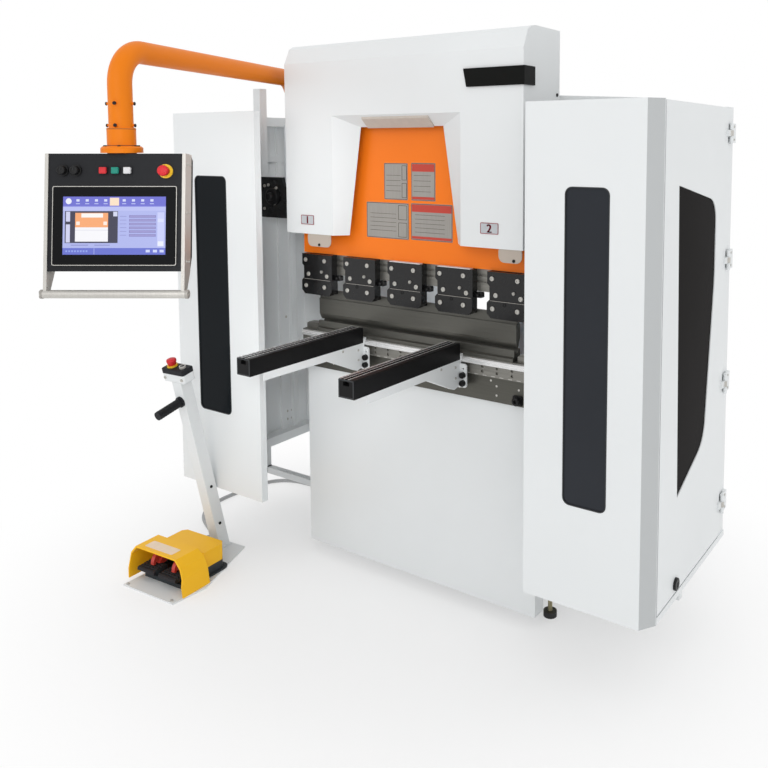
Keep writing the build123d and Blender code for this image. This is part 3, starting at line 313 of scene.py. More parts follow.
def levelling_finish(name):
    """Black rubber pad, yellowish threaded zinc stud above it, and the painted bracket over that."""
    paint = Paint(name, Roughness=0.5)
    height = paint.axis(2)
    stud = (height - PAD_TOP).step(2000.0)
    bracket = (height - STUD_TOP).step(2000.0)
    bare_stud = stud * (1 - bracket)
    zinc = paint.mix(paint.noise(60.0, 3.0), rgb(190, 176, 132), rgb(150, 146, 128))
    paint.colour(bracket, paint.mix(stud, rgb(30, 30, 31), zinc), rgb(214, 217, 218))
    paint.link(bare_stud * 0.9, "Metallic")
    paint.link(0.72 - stud * 0.36, "Roughness")
    paint.bump((height * THREAD).wave() * bare_stud, 0.0006, 0.6)
    return paint.material


print("steels ready")

# %% One finish for each slot
LONG_X, LONG_Z, EVEN = (0.02, 1.0, 1.0), (1.0, 1.0, 0.05), (1.0, 1.0, 1.0)
BAR_STEP = 0.872
# FOLD_SHADE is painted shade: the greyer tone that the guards' folded front edges get in place of their
# white.
WHITE, FOLD_SHADE, OXIDE = rgb(231, 234, 235), rgb(184, 187, 188), rgb(20, 20, 21)
finishes = {
    "white_paint": powder_coat("white_paint", WHITE),
    # grey_paint is partly the frame's own pale grey and partly painted light: made lighter so that the shaded
    # inside of the guards looks bright.
    "grey_paint": powder_coat("grey_paint", rgb(226, 233, 237), 0.45, shine=0.4),
    "orange_paint": powder_coat("orange_paint", rgb(255, 128, 26), 0.4, tone=0.9, shine=0.25),
    "black_steel": black_oxide("black_steel", OXIDE, 0.22, 0.4),
    "ground_steel": two_tone_steel("ground_steel", rgb(150, 148, 142), rgb(94, 93, 87), BAR_STEP, LONG_X),
    "tool_steel": ground_steel("tool_steel", rgb(110, 109, 103), LONG_X, 0.4, 0.7),
    "bright_steel": ground_steel("bright_steel", rgb(250, 250, 250), LONG_X, 0.24, 0.55),
    "black_profile": black_oxide("black_profile", OXIDE, 0.36, 0.14),
    "dark_pane": smoked_pane("dark_pane", rgb(44, 47, 53), rgb(36, 39, 44), 0.18),
    "rubber_pad": levelling_finish("rubber_pad"),
    "console_black": moulded("console_black", rgb(38, 39, 42), 0.5, shine=0.14),
    "silver_rail": ground_steel("silver_rail", rgb(212, 209, 203), LONG_Z, 0.34, 0.5),
    "screen": smoked_pane("screen", rgb(11, 12, 15), rgb(8, 9, 11), 0.08),
    "button_red": moulded("button_red", rgb(206, 36, 30), 0.3),
    "yellow_plastic": powder_coat("yellow_plastic", rgb(255, 194, 30), 0.4, shine=0.25),
    "cast_dark": moulded("cast_dark", rgb(50, 56, 60), 0.55, 260.0),
    "conduit_metal": ground_steel("conduit_metal", rgb(188, 189, 190), EVEN, 0.36, 0.7),
    "lamp_panel": moulded("lamp_panel", rgb(206, 196, 186), 0.5),
}
for part in frame["record"]["subparts"]:
    target = nodes[part["node"]]
    target.data.materials.clear()
    target.data.materials.append(finishes[part["material_slot"]])
print("finishes", len(finishes))

# %% Finishes of the small pieces
finishes.update({
    "zinc_screw": ground_steel("zinc_screw", rgb(214, 212, 206), EVEN, 0.36, 0.6),
    "black_plastic": moulded("black_plastic", rgb(22, 22, 23), 0.42),
    "bare_plate": ground_steel("bare_plate", rgb(176, 172, 166), LONG_Z, 0.5, 0.25),
    "plate_ink": moulded("plate_ink", rgb(62, 50, 46), 0.6),
    "primer_red": powder_coat("primer_red", rgb(196, 62, 46), 0.45),
    "beige_steel": powder_coat("beige_steel", rgb(186, 174, 162), 0.5),
    "tag_red": moulded("tag_red", rgb(156, 44, 56), 0.5),
    "tag_face": moulded("tag_face", rgb(196, 200, 204), 0.5),
    "signal_yellow": moulded("signal_yellow", rgb(240, 196, 52), 0.35),
    "cap_green": moulded("cap_green", rgb(28, 140, 122), 0.35),
    "cap_white": moulded("cap_white", rgb(222, 222, 224), 0.35),
    "cap_red": moulded("cap_red", rgb(214, 44, 52), 0.35),
    "gasket": moulded("gasket", rgb(58, 60, 62), 0.7),
    "blank_label": moulded("blank_label", rgb(250, 226, 200), 0.55),
    "shadow_gap": moulded("shadow_gap", rgb(70, 72, 74), 0.8),
    "red_lever": powder_coat("red_lever", rgb(206, 66, 56), 0.4),
    "tread_rubber": moulded("tread_rubber", rgb(40, 38, 42), 0.6, 300.0),
})
FOLD_RIGHT, FOLD_LEFT = (0.9958, 1.0283), (-1.0773, -1.0448)
own_finishes = {
    "door_window_right": smoked_pane("side_pane", rgb(28, 25, 25), rgb(22, 20, 19), 0.005),
    # The left window's pane is painted shade: a darker copy of the same smoked pane as the right window.
    "guard_window_left": smoked_pane("left_pane_shaded", rgb(22, 26, 30), rgb(17, 21, 24), 0.06),
    "hood_badge": moulded("badge_black", rgb(22, 23, 22), 0.4, shine=0.06),
    "pendant_arm": powder_coat("arm_orange", rgb(238, 128, 4), 0.42, tone=0.9, shine=0.2),
    # The guards' folded edges get painted shade, a greyer tone, between the X limits of FOLD_RIGHT and
    # FOLD_LEFT.
    "guard_front_right": coat_with_fold_shade("fold_shade_right", WHITE, FOLD_SHADE, *FOLD_RIGHT),
    "guard_front_left": coat_with_fold_shade("fold_shade_left", WHITE, FOLD_SHADE, *FOLD_LEFT),
}
for name, finish in own_finishes.items():
    nodes[name].data.materials[0] = finish
print("small finishes", len(finishes))

# %% [markdown]
# ## The conduit
#
# A spiral metal conduit runs over the floor from the pedal stand to the machine. It is a stiff tube, so it
# lies in long easy curves. Its centre line is one smooth NURBS curve; the ribs are a mesh tube carried
# along it, whose radius rises and falls every few millimetres.

# %% Conduit line
CONDUIT_D = 0.018
CONDUIT_POINTS = [(-0.8966, -0.2948, 0.052), (-0.899, -0.258, 0.047), (-0.908, -0.222, 0.034),
                  (-0.930, -0.184, 0.019), (-0.968, -0.152, 0.0098), (-1.016, -0.128, 0.0095),
                  (-1.064, -0.108, 0.0095), (-1.118, -0.078, 0.0095), (-1.166, -0.030, 0.0095),
                  (-1.196, 0.033, 0.0095), (-1.206, 0.105, 0.0095), (-1.203, 0.180, 0.0095),
                  (-1.196, 0.245, 0.0095), (-1.186, 0.310, 0.0095), (-1.165, 0.370, 0.0095),
                  (-1.120, 0.415, 0.0095), (-1.060, 0.440, 0.0095), (-0.995, 0.448, 0.0095),
                  (-0.930, 0.450, 0.0095), (-0.862, 0.458, 0.0095), (-0.795, 0.470, 0.0095),
                  (-0.728, 0.480, 0.0095), (-0.660, 0.482, 0.0095), (-0.600, 0.480, 0.014),
                  (-0.545, 0.480, 0.030), (-0.500, 0.480, 0.052), (-0.465, 0.480, 0.066)]
LINE_STEPS = 24


def curve_arrays(curve):
    """Points and faces of a curve or text as a mesh; nothing of the curve stays in the scene."""
    carrier = bpy.data.objects.new("carrier", curve)
    into_scene(carrier)
    bpy.context.view_layer.update()
    mesh = bpy.data.meshes.new_from_object(carrier.evaluated_get(bpy.context.evaluated_depsgraph_get()))
    verts = np.empty(len(mesh.vertices) * 3)
    mesh.vertices.foreach_get("co", verts)
    faces = [list(polygon.vertices) for polygon in mesh.polygons]
    bpy.data.objects.remove(carrier)
    bpy.data.meshes.remove(mesh)
    return verts.reshape(-1, 3), faces


def smooth_line(points):
    """Points read along the NURBS curve that has these control points."""
    curve = bpy.data.curves.new("line", "CURVE")
    curve.dimensions = "3D"
    spline = curve.splines.new("NURBS")
    spline.points.add(len(points) - 1)
    spline.points.foreach_set("co", np.append(np.array(points), np.ones((len(points), 1)), 1).ravel())
    spline.order_u = 3
    spline.use_endpoint_u = True
    spline.resolution_u = LINE_STEPS
    return curve_arrays(curve)[0]


def resample(line, gap):
    """The line again, with points one gap apart: each coordinate is interpolated on the arc length."""
    along = np.append(0, np.cumsum(np.linalg.norm(np.diff(line, axis=0), axis=1)))
    wanted = np.linspace(0, along[-1], int(round(along[-1] / gap)) + 1)
    return np.stack([np.interp(wanted, along, line[:, k]) for k in range(3)], 1), along[-1]


# The gap between two points of the line; four of them make one rib of the conduit.
RIB_PART = 0.0013
conduit_line, conduit_length = resample(smooth_line(CONDUIT_POINTS), RIB_PART)
print("conduit line %.3f m" % conduit_length)

# %% Mesh helpers
def new_piece(name, verts, faces, finish, body="machine", smooth=False, stands_for=()):
    """Puts arrays into a mesh object that rides on a body, held inside the box of the CAD solids."""
    mesh = bpy.data.meshes.new(name)
    held = np.clip(np.asarray(verts, float), cad_box[0], cad_box[1])
    mesh.from_pydata(held.tolist(), [], [list(map(int, f)) for f in faces])
    mesh.update()
    if smooth:
        mesh.polygons.foreach_set("use_smooth", np.ones(len(mesh.polygons), bool))
    piece = bpy.data.objects.new(name, mesh)
    into_scene(piece)
    mesh.materials.append(finishes[finish] if isinstance(finish, str) else finish)
    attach(piece, body)
    isinstance(finish, str) and any(finish == m["slot"] for m in frame["record"]["materials"])
    if stands_for:
        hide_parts(*stands_for)
    return piece


def grid_faces(rows, columns, close_rows=False, close_columns=False):
    """Quads of a grid of rows x columns points; a closed direction joins its last line to its first."""
    r = np.arange(rows if close_rows else rows - 1)
    c = np.arange(columns if close_columns else columns - 1)
    r, c = np.meshgrid(r, c, indexing="ij")
    r1, c1 = (r + 1) % rows, (c + 1) % columns
    corners = [r * columns + c, r * columns + c1, r1 * columns + c1, r1 * columns + c]
    return np.stack(corners, -1).reshape(-1, 4)


def tube_along(line, radii, sides):
    """Grid of a tube: line + radius * (cos a * side + sin a * up), with side and up square to the line."""
    ahead = np.gradient(line, axis=0)
    ahead /= np.linalg.norm(ahead, axis=1)[:, None]
    side = np.cross(ahead, (0.0, 0.0, 1.0))
    side /= np.linalg.norm(side, axis=1)[:, None]
    up = np.cross(side, ahead)
    a = np.linspace(0, 2 * np.pi, sides, endpoint=False)
    around = np.cos(a)[None, :, None] * side[:, None] + np.sin(a)[None, :, None] * up[:, None]
    return (line[:, None] + around * np.asarray(radii)[:, None, None]).reshape(-1, 3)


print("mesh helpers ready")

# %% Conduit piece
RIB_DEPTH = 0.0012
PARTS_A_RIB = 4
CONDUIT_SIDES = 20
ridge = 0.5 - 0.5 * np.cos(2 * np.pi * np.arange(len(conduit_line)) / PARTS_A_RIB)
conduit_verts = tube_along(conduit_line, CONDUIT_D / 2 - RIB_DEPTH * (1 - ridge), CONDUIT_SIDES)
conduit_faces = grid_faces(len(conduit_line), CONDUIT_SIDES, False, True)
conduit = new_piece("conduit", conduit_verts, conduit_faces, "conduit_metal", smooth=True,
                    stands_for=["pedal_conduit"])
print("conduit %.3f m" % conduit_length)

# %% [markdown]
# ## Shapes for small pieces
#
# Screws, caps, gaskets and plates are all the same kind of surface: a closed outline that is carried
# through a few stations, with its first and last station closed. A screw is a circle that changes its
# radius, a plate is one outline at two depths, and a gasket is a ring whose section returns to its start.
# They are drawn flat, in a right-up-out frame, and then set on the face of the machine that carries them.

# %% Lofts, plates and rings
def loft(rings):
    """Closed outlines, one a station: neighbours joined by quads, the first and last closed by a flat cap."""
    rings = np.asarray(rings, float)
    count, sides = rings.shape[:2]
    faces = grid_faces(count, sides, False, True).tolist()
    faces.append(list(range(sides))[::-1])
    faces.append(list(range((count - 1) * sides, count * sides)))
    return rings.reshape(-1, 3), faces


def turned(profile, sides=12):
    """Turned piece: (r cos a, r sin a, w) for each radius r and depth w of the profile."""
    p = np.asarray(profile, float)
    a = np.linspace(0, 2 * np.pi, sides, endpoint=False)
    return loft(np.stack([p[:, :1] * np.cos(a), p[:, :1] * np.sin(a), np.repeat(p[:, 1:], sides, 1)], -1))


def head(radii, depths, sides=12):
    """Screw head, cap or knob: its side, a chamfered rim and a flat top round a sunk middle."""
    side, rim, lip, hole = radii
    base, shoulder, top, sunk = depths
    return turned([(side, base), (side, shoulder), (rim, top), (lip, top), (hole, sunk)], sides)


def rounded(width, height, radius, steps=4):
    """Round-cornered rectangle: a quarter circle about each corner's centre, counterclockwise."""
    turn = np.linspace(0, np.pi / 2, steps)
    x, y = width / 2 - radius, height / 2 - radius
    centres = [(x, y), (-x, y), (-x, -y), (x, -y)]
    return np.concatenate([np.stack([cx + radius * np.cos(turn + k * np.pi / 2),
                                     cy + radius * np.sin(turn + k * np.pi / 2)], 1)
                           for k, (cx, cy) in enumerate(centres)])


def plate(outline, low, high, edge=0.0):
    """Rounded rectangle from depth low to high; edge draws its front in by that much, as a small chamfer."""
    flat = rounded(*outline)
    stations = [(1.0, low), (1.0, high - edge)]
    if edge:
        stations.append((1.0 - edge / np.abs(flat).max(), high))
    return loft([np.column_stack([flat * k, np.full(len(flat), w)]) for k, w in stations])


def ring(outer, inner, low, high):
    """Flat ring between two rounded rectangles, or two circles, from depth low to high."""
    outer, inner = rounded(*outer), rounded(*inner)
    stations = [(outer, low), (outer, high), (inner, high), (inner, low)]
    rings = np.stack([np.column_stack([o, np.full(len(o), w)]) for o, w in stations])
    return rings.reshape(-1, 3), grid_faces(4, len(outer), True, True).tolist()


print("shape helpers ready")

# %% Setting a shape on a face
FRONT = ((1, 0, 0), (0, 0, 1))
REAR = ((-1, 0, 0), (0, 0, 1))
RIGHT_SIDE = ((0, 1, 0), (0, 0, 1))
LEFT_SIDE = ((0, -1, 0), (0, 0, 1))
TOP = ((1, 0, 0), (0, 1, 0))
# How far a screw starts inside its face, and the radius and height of the two common screws.
SEAT = -0.001
SHEET_SCREW, HINGE_SCREW = (0.006, 0.003), (0.0045, 0.002)


def set_on(shape, place, facing):
    """Right, up and out of the shape go along the face's own directions: place + u right + v up + w out."""
    right, up = np.asarray(facing[0], float), np.asarray(facing[1], float)
    verts, faces = shape
    return np.asarray(place) + verts @ np.stack([right, up, np.cross(right, up)]), faces


def set_at(shape, places, facing):
    """The same shape set at several places of one face."""
    return [set_on(shape, place, facing) for place in places]


def joined(name, shapes, finish, body="machine", smooth=False):
    """One piece from several shapes that are already set in place."""
    verts, faces, start = [], [], 0
    for v, f in shapes:
        verts.append(v)
        faces += [[i + start for i in face] for face in f]
        start += len(v)
    return new_piece(name, np.concatenate(verts), faces, finish, body, smooth)


def screws(name, places, facing, radius, height, body="machine", finish="zinc_screw"):
    """Socket screws of one size on one face: a round head with a chamfer and a sunk socket."""
    radii = (radius, radius * 0.86, radius * 0.5, radius * 0.44)
    shape = head(radii, (SEAT, height * 0.75, height, height * 0.35))
    return joined(name, set_at(shape, places, facing), finish, body)


print("screws ready")

# %% [markdown]
# ## Punch clamps
#
# Each clamp carries seven screws, a fine joint line between its two plates, and a threaded hole. A black
# block and pin stand right of each of the first four clamps, and two clamps have a bright sliding plate on
# top. The screws' places are fractions of the clamp's own width and height, so that they are the same on all
# five.

# %% Clamp screws
CLAMPS = [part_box("clamp_%d" % number) for number in range(1, 6)]
UPPER_SHARE, UPPER_SET_BACK = 0.61, 0.003
LARGE_SCREWS = [(0.125, 0.15), (0.76, 0.15), (0.22, 0.50), (0.84, 0.52), (0.15, 0.79), (0.77, 0.79)]
SMALL_SCREW, THREADED_HOLE = (0.67, 0.42), (0.45, 0.68)


def on_clamps(*spots):
    """Points on the front of all clamps, as fractions of a clamp's width and height from its top left."""
    points = []
    for low, high in CLAMPS:
        for across, down in spots:
            front = low.y + (UPPER_SET_BACK if down < UPPER_SHARE else 0.0)
            points.append((low.x + (high.x - low.x) * across, front, high.z - (high.z - low.z) * down))
    return points


screws("clamp_screws", on_clamps(*LARGE_SCREWS), FRONT, 0.0085, 0.004, "ram_group")
screws("clamp_small_screws", on_clamps(SMALL_SCREW), FRONT, 0.006, 0.006, "ram_group")
bush = ring((0.013, 0.013, 0.0064), (0.008, 0.008, 0.0039), 0.0, 0.0008)
joined("clamp_bushes", set_at(bush, on_clamps(THREADED_HOLE), FRONT), "black_profile", "ram_group")
print("clamp screws", len(CLAMPS) * (len(LARGE_SCREWS) + 1))

# %% Clamp gap blocks
# A black block and a pin in the gap to the right of each of the first four clamps.
GAP_BLOCK_FACE, GAP_BLOCK_DOWN = -0.004, 0.090
BLOCK_ASIDE, PIN_ASIDE = 0.010, 0.014
block = plate((0.030, 0.020, 0.004), 0.0, 0.020, 0.003)
pin = turned([(0.006, 0.0), (0.006, 0.026), (0.0045, 0.0285), (0.002, 0.029)])
gap_blocks = [set_on(shape, (high.x + aside, GAP_BLOCK_FACE, high.z - GAP_BLOCK_DOWN), FRONT)
          for low, high in CLAMPS[:-1] for shape, aside in ((block, BLOCK_ASIDE), (pin, PIN_ASIDE))]
joined("clamp_levers", gap_blocks, "black_steel", "ram_group")
print("clamp levers", len(gap_blocks) // 2)

# %% Joint lines and sliding plates
JOINT_DOWN, JOINT_ASIDE, JOINT_END = 0.0995, 0.004, 0.010
SLIDE_Y = -0.0325
joints = []
for low, high in CLAMPS:
    line = plate((high.x - low.x - 2 * JOINT_END, 0.0016, 0.0006, 3), 0.0, 0.0006)
    x = (low.x + high.x) / 2 + JOINT_ASIDE
    joints.append(set_on(line, (x, low.y + 0.0002, high.z - JOINT_DOWN), FRONT))
joined("clamp_joint_lines", joints, "bare_plate", "ram_group")
slide = plate((0.140, 0.021, 0.002), 0.0, 0.0028, 0.0006)
slides = [set_on(slide, ((low.x + high.x) / 2, SLIDE_Y, high.z), TOP) for low, high in CLAMPS[2:4]]
joined("clamp_slide_plates", slides, "cap_white", "ram_group")
print("joint lines", len(joints), "slide plates", len(slides))

# %% [markdown]
# ## Plates on the ram
#
# The real ram carries four thin metal plates. Here they are bare: a brushed plate in a thin dark border,
# ruled into fields, two of them with a red band along the top. They ride with the ram.

# %% Ram plates
RAM_FACE = -0.021
# Ink starts just under a plate's face; a rule ends a little lower than a rim or a band.
INK_BACK, RULE_TOP, INK_TOP = 0.0009, 0.0012, 0.0013
# Left, right, bottom and top of each plate, and whether it has red bands.
PLATES = [(-0.104, 0.005, 1.471, 1.605, False), (0.022, 0.129, 1.471, 1.607, True),
          (-0.190, 0.009, 1.326, 1.459, False), (0.020, 0.203, 1.328, 1.461, True)]
plain, rules, bands = [], [], []
for x0, x1, z0, z1, banded in PLATES:
    wide, high = x1 - x0, z1 - z0
    x, z = (x0 + x1) / 2, (z0 + z1) / 2
    plain.append(set_on(plate((wide, high, 0.003), 0.0, 0.0010, 0.0003), (x, RAM_FACE, z), FRONT))
    rim = ring((wide - 0.003, high - 0.003, 0.002), (wide - 0.006, high - 0.006, 0.002), INK_BACK, INK_TOP)
    rules.append(set_on(rim, (x, RAM_FACE, z), FRONT))
    share, aside = (0.72, 0.04) if banded else (0.62, 0.10)
    rule = plate((wide * share, 0.0011, 0.0004, 2), INK_BACK, RULE_TOP)
    rows = np.linspace(0.62, -0.80, 7 if wide > 0.15 else 6) * high / 2
    rules += set_at(rule, [(x - wide * aside, RAM_FACE, z + row) for row in rows[1:-1]], FRONT)
    if banded:
        for middle, share in ((z1 - 0.004 - high * 0.1, 0.2), (z0 + 0.004 + high * 0.04, 0.07)):
            band = plate((wide - 0.008, high * share, 0.001), INK_BACK, INK_TOP)
            bands.append(set_on(band, (x, RAM_FACE, middle), FRONT))
    else:
        outer, inner = (wide * 0.2, high * 0.4, 0.002), (wide * 0.2 - 0.003, high * 0.4 - 0.003, 0.001)
        rules += set_at(ring(outer, inner, INK_BACK, INK_TOP),
                        [(x + wide * 0.36, RAM_FACE, z + high * up) for up in (0.24, -0.24)], FRONT)
joined("ram_plates", plain, "bare_plate", "ram_group")
joined("ram_plate_rules", rules, "plate_ink", "ram_group")
joined("ram_plate_bands", bands, "primer_red", "ram_group")
print("ram plates", len(PLATES), "rules", len(rules))

# %% [markdown]
# ## Hood
#
# Two small plates with a red frame number the cylinders. Under each lower corner a round-cornered tab hangs
# behind the sheet, held by one black screw. A numeral is a text curve that is turned into a mesh before it
# is placed, so that the export sees plain faces.

# %% Numbered plates
HOOD_FACE = -0.100
TAG_THICK = 0.0012
# Numeral, left, right, bottom and top.
TAGS = (("1", -0.454, -0.387, 1.367, 1.403), ("2", 0.370, 0.440, 1.378, 1.415))


def numeral(text, height, depth):
    """Mesh of a numeral, centred, with its height and depth in metres."""
    curve = bpy.data.curves.new("numeral", "FONT")
    curve.body = text
    curve.resolution_u = 3
    curve.extrude = 0.02
    verts, faces = curve_arrays(curve)
    low, high = verts.min(0), verts.max(0)
    scale = height / (high[1] - low[1])
    flat = (verts - (low + high) / 2) * (scale, scale, depth / (high[2] - low[2]))
    return flat + (0, 0, depth / 2), faces


tags, frames, digits = [], [], []
for digit, x0, x1, z0, z1 in TAGS:
    x, z, wide, high = (x0 + x1) / 2, (z0 + z1) / 2, x1 - x0, z1 - z0
    tags.append(set_on(plate((wide, high, 0.003), 0.0, TAG_THICK), (x, HOOD_FACE, z), FRONT))
    rim = ring((wide, high, 0.003), (wide - 0.004, high - 0.004, 0.002), 0.0, 0.0018)
    frames.append(set_on(rim, (x, HOOD_FACE, z), FRONT))
    strokes = [(x + nudge, HOOD_FACE - TAG_THICK, z) for nudge in (-0.0016, 0.0, 0.0016)]
    digits += set_at(numeral(digit, 0.027, 0.0007), strokes, FRONT)
joined("hood_tags", tags, "tag_face")
joined("hood_tag_frames", frames + digits, "tag_red")
print("tags", len(tags))

# %% Corner tabs and hood screws
TAB_TOP, TAB_Y, TAB_HALF = 1.345, -0.0938, 0.0015
HOOD_SIDE, HOOD_REAR = 0.532, 0.147
# Left, right and bottom of each tab, and its screw.
TABS = ((-0.426, -0.307, 1.283, -0.366), (0.437, 0.526, 1.286, 0.496))
tabs, tab_screws = [], []
for x0, x1, z0, screw in TABS:
    tab = plate((x1 - x0, TAB_TOP - z0, 0.022, 6), -TAB_HALF, TAB_HALF, 0.0004)
    tabs.append(set_on(tab, ((x0 + x1) / 2, TAB_Y, (TAB_TOP + z0) / 2), FRONT))
    tab_screws.append((screw, TAB_Y - TAB_HALF, z0 + 0.008))
joined("corner_tabs", tabs, "beige_steel")
screws("corner_tab_screws", tab_screws, FRONT, 0.0055, 0.003, finish="black_plastic")
for side, x, facing in (("side", HOOD_SIDE, RIGHT_SIDE), ("left", -HOOD_SIDE, LEFT_SIDE)):
    screws("hood_%s_plug" % side, [(x, 0.128, 1.840)], facing, *SHEET_SCREW, finish="black_plastic")
rear_row = [(x, HOOD_REAR, 2.030) for x in np.linspace(-0.48, 0.48, 7)]
screws("hood_rear_screws", rear_row, REAR, *SHEET_SCREW)
print("hood screws", len(rear_row) + len(tab_screws) + 2)

# %% [markdown]
# ## Bed and sheet supports
#
# The ground bar has small screws in its lower, darker face, a row of bright dashes above the step between
# its two faces and a black square knob near its right end. The supports have bright lips along their slots
# and black knobs on their hooks.

# %% Bar details
BAR_FACE, BAR_LOW_FACE = -0.026, -0.012
KNOB_PLACE = (0.466, BAR_LOW_FACE, 0.803)
dots = [(x, BAR_LOW_FACE, z) for x in (-0.469, -0.38, 0.38, 0.469) for z in (0.806, 0.839)]
dots += [(x, BAR_LOW_FACE, z) for x, z in ((-0.357, 0.856), (0.357, 0.856), (-0.1, 0.83), (0.1, 0.83))]
screws("bar_dots", dots, FRONT, 0.004, 0.0003)
dash = plate((0.016, 0.0022, 0.001, 2), 0.0, 0.0006)
dashes = set_at(dash, [(x, BAR_FACE, 0.8755) for x in np.arange(-0.51, 0.52, 0.034)], FRONT)
joined("bar_dashes", dashes, "zinc_screw")
knob = [plate((0.036, 0.034, 0.005), 0.0, 0.008, 0.0015),
        head((0.015, 0.0125, 0.0065, 0.006), (0.008, 0.019, 0.022, 0.015), 20)]
joined("bar_knob", [set_on(shape, KNOB_PLACE, FRONT) for shape in knob], "black_plastic")
print("bar dots", len(dots), "dashes", len(dashes))

# %% Support details
# Sideways place and width of each lip, and the knobs and bolts from the middle of the arm.
LIPS = ((-0.0255, 0.008), (-0.0085, 0.0035), (0.0085, 0.0035))
HOOK_ASIDE, HOOK_FACE, HOOK_HEIGHTS = 0.044, -0.0464, (0.840, 0.869)
BRACKET_ASIDE, BRACKET_BOLTS = 0.031, ((-0.075, 0.900), (-0.075, 0.862), (-0.16, 0.912))
hook_knob = head((0.011, 0.0095, 0.005, 0.0045), (0.0, 0.0105, 0.0135, 0.0118), 18)
end = ring((0.060, 0.056, 0.003), (0.052, 0.048, 0.002), 0.0, 0.0008)
for side, x in (("left", -0.225), ("right", 0.220)):
    body = "support_%s_group" % side
    low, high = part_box("support_arm_" + side)
    lips = [set_on(plate((wide, high.y - low.y, 0.001, 3), 0.0, 0.0005),
                   (x + aside, (low.y + high.y) / 2, high.z), TOP)
            for aside, wide in LIPS]
    joined("slot_lips_" + side, lips, "bright_steel", body)
    caps = set_at(hook_knob, [(x + HOOK_ASIDE, HOOK_FACE, z) for z in HOOK_HEIGHTS], FRONT)
    joined("hook_knobs_" + side, caps, "black_plastic", body)
    bolts = [(x + BRACKET_ASIDE, y, z) for y, z in BRACKET_BOLTS]
    screws("bracket_screws_" + side, bolts, RIGHT_SIDE, *HINGE_SCREW, body)
    joined("arm_end_" + side, [set_on(end, (x, low.y, (low.z + high.z) / 2), FRONT)], "gasket", body)
print("supports dressed")

# %% [markdown]
# ## Guards
#
# A rubber edge runs round each front window. The hinges have screws in their leaves and a steel sleeve in
# the middle, and each door has a black lock. Bolts sit inside the left door and on the carrier plate, and
# rows of screws hold the rear sheets.

# %% Window edges
GUARD_FACE = -0.228
WINDOW_LOW, WINDOW_HIGH = 0.592, 1.549
# Side, left and right of each front window.
WINDOWS = (("right", 0.747, 0.888), ("left", -0.919, -0.732))
for side, x0, x1 in WINDOWS:
    wide, high = x1 - x0, WINDOW_HIGH - WINDOW_LOW
    edge = ring((wide + 0.0015, high + 0.0015, 0.0225, 6), (wide - 0.005, high - 0.005, 0.0195, 6),
                -0.0028, 0.0008)
    edge_place = ((x0 + x1) / 2, GUARD_FACE, (WINDOW_HIGH + WINDOW_LOW) / 2)
    joined("window_edge_" + side, [set_on(edge, edge_place, FRONT)], "gasket")
print("window edges", len(WINDOWS))

# %% Hinge and lock details
HINGE_LOW, HINGE_HIGH = 0.409, 1.711
LEAF_Y, PIN_Y = 0.474, 0.440
LOCK_Y, LOCK_Z = -0.016, 0.325
heights = [HINGE_LOW + k * (HINGE_HIGH - HINGE_LOW) / 3 for k in range(4)]
sleeve = turned([(0.0076, -0.0095), (0.0078, -0.007), (0.0078, 0.007), (0.0076, 0.0095)], 16)
lock = [head((0.0196, 0.0172, 0.0085, 0.008), (0.0, 0.0072, 0.0086, 0.0074), 24),
        plate((0.009, 0.003, 0.0012, 3), 0.0073, 0.0088)]
for side, sign, hinge_x, facing in (("right", 1, 1.036, RIGHT_SIDE), ("left", -1, -1.085, LEFT_SIDE)):
    body = "door_%s_group" % side
    leaf = [(hinge_x - sign * 0.001, LEAF_Y, z + up) for z in heights for up in (-0.022, 0.022)]
    screws("hinge_screws_" + side, leaf, facing, *HINGE_SCREW)
    sleeves = set_at(sleeve, [(hinge_x, PIN_Y, z) for z in heights], TOP)
    joined("hinge_sleeves_" + side, sleeves, "silver_rail", body)
    lock_place = (hinge_x - sign * 0.007, LOCK_Y, LOCK_Z)
    lock_parts = [set_on(shape, lock_place, facing) for shape in lock]
    joined("door_lock_" + side, lock_parts, "black_plastic", body)
print("hinges and locks dressed")

# %% Fittings on the carrier plate
carrier_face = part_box("carrier_plate")[0].y
fittings = [(-0.826, 1.499), (-0.803, 1.503), (-0.829, 1.402), (-0.768, 1.425), (-0.757, 1.491)]
bolts = [(x, carrier_face, z) for x, z in fittings]
screws("carrier_bolts", bolts, FRONT, 0.0065, 0.005, finish="bare_plate")
hub = turned([(0.036, SEAT), (0.036, 0.012), (0.031, 0.015), (0.018, 0.015), (0.017, 0.026),
              (0.014, 0.03)], 28)
joined("carrier_hub", [set_on(hub, (-0.775, carrier_face, 1.455), FRONT)], "black_plastic")
print("carrier fittings", len(fittings) + 1)

# %% Bolts inside the left door, and the outrigger's plug
DOOR_INSIDE, GUARD_REAR = -1.0745, 0.496
OUTRIGGER_END = (-1.0, 0.200, 0.170)
inside = [(DOOR_INSIDE, y, z) for y, z in ((0.398, 0.376), (0.428, 0.374), (0.398, 0.336), (0.428, 0.335),
                                           (0.402, 0.843))]
screws("door_bolts_left", inside, RIGHT_SIDE, *SHEET_SCREW, "door_left_group")
plug = ring((0.0304, 0.0304, 0.003), (0.020, 0.020, 0.002), 0.0, 0.014)
joined("outrigger_plug", [set_on(plug, OUTRIGGER_END, RIGHT_SIDE)], "black_plastic")
rear_bolts = [(x, GUARD_REAR, z) for x in (-0.98, -0.72, -0.50, 0.50, 0.72, 0.94)
              for z in (0.32, 1.05, 1.75)]
screws("guard_rear_screws", rear_bolts, REAR, *SHEET_SCREW)
print("bolts", len(inside) + len(rear_bolts))

# %% [markdown]
# ## Control pendant
#
# The pendant hangs turned and tilted, so its pieces are drawn in its own frame, with X to the right and Z
# up, and then go through the same tilt, turn and drop as its housing. The push buttons get square caps, the
# two knobs get fluted grips, and the stop button gets a yellow collar under its red head.

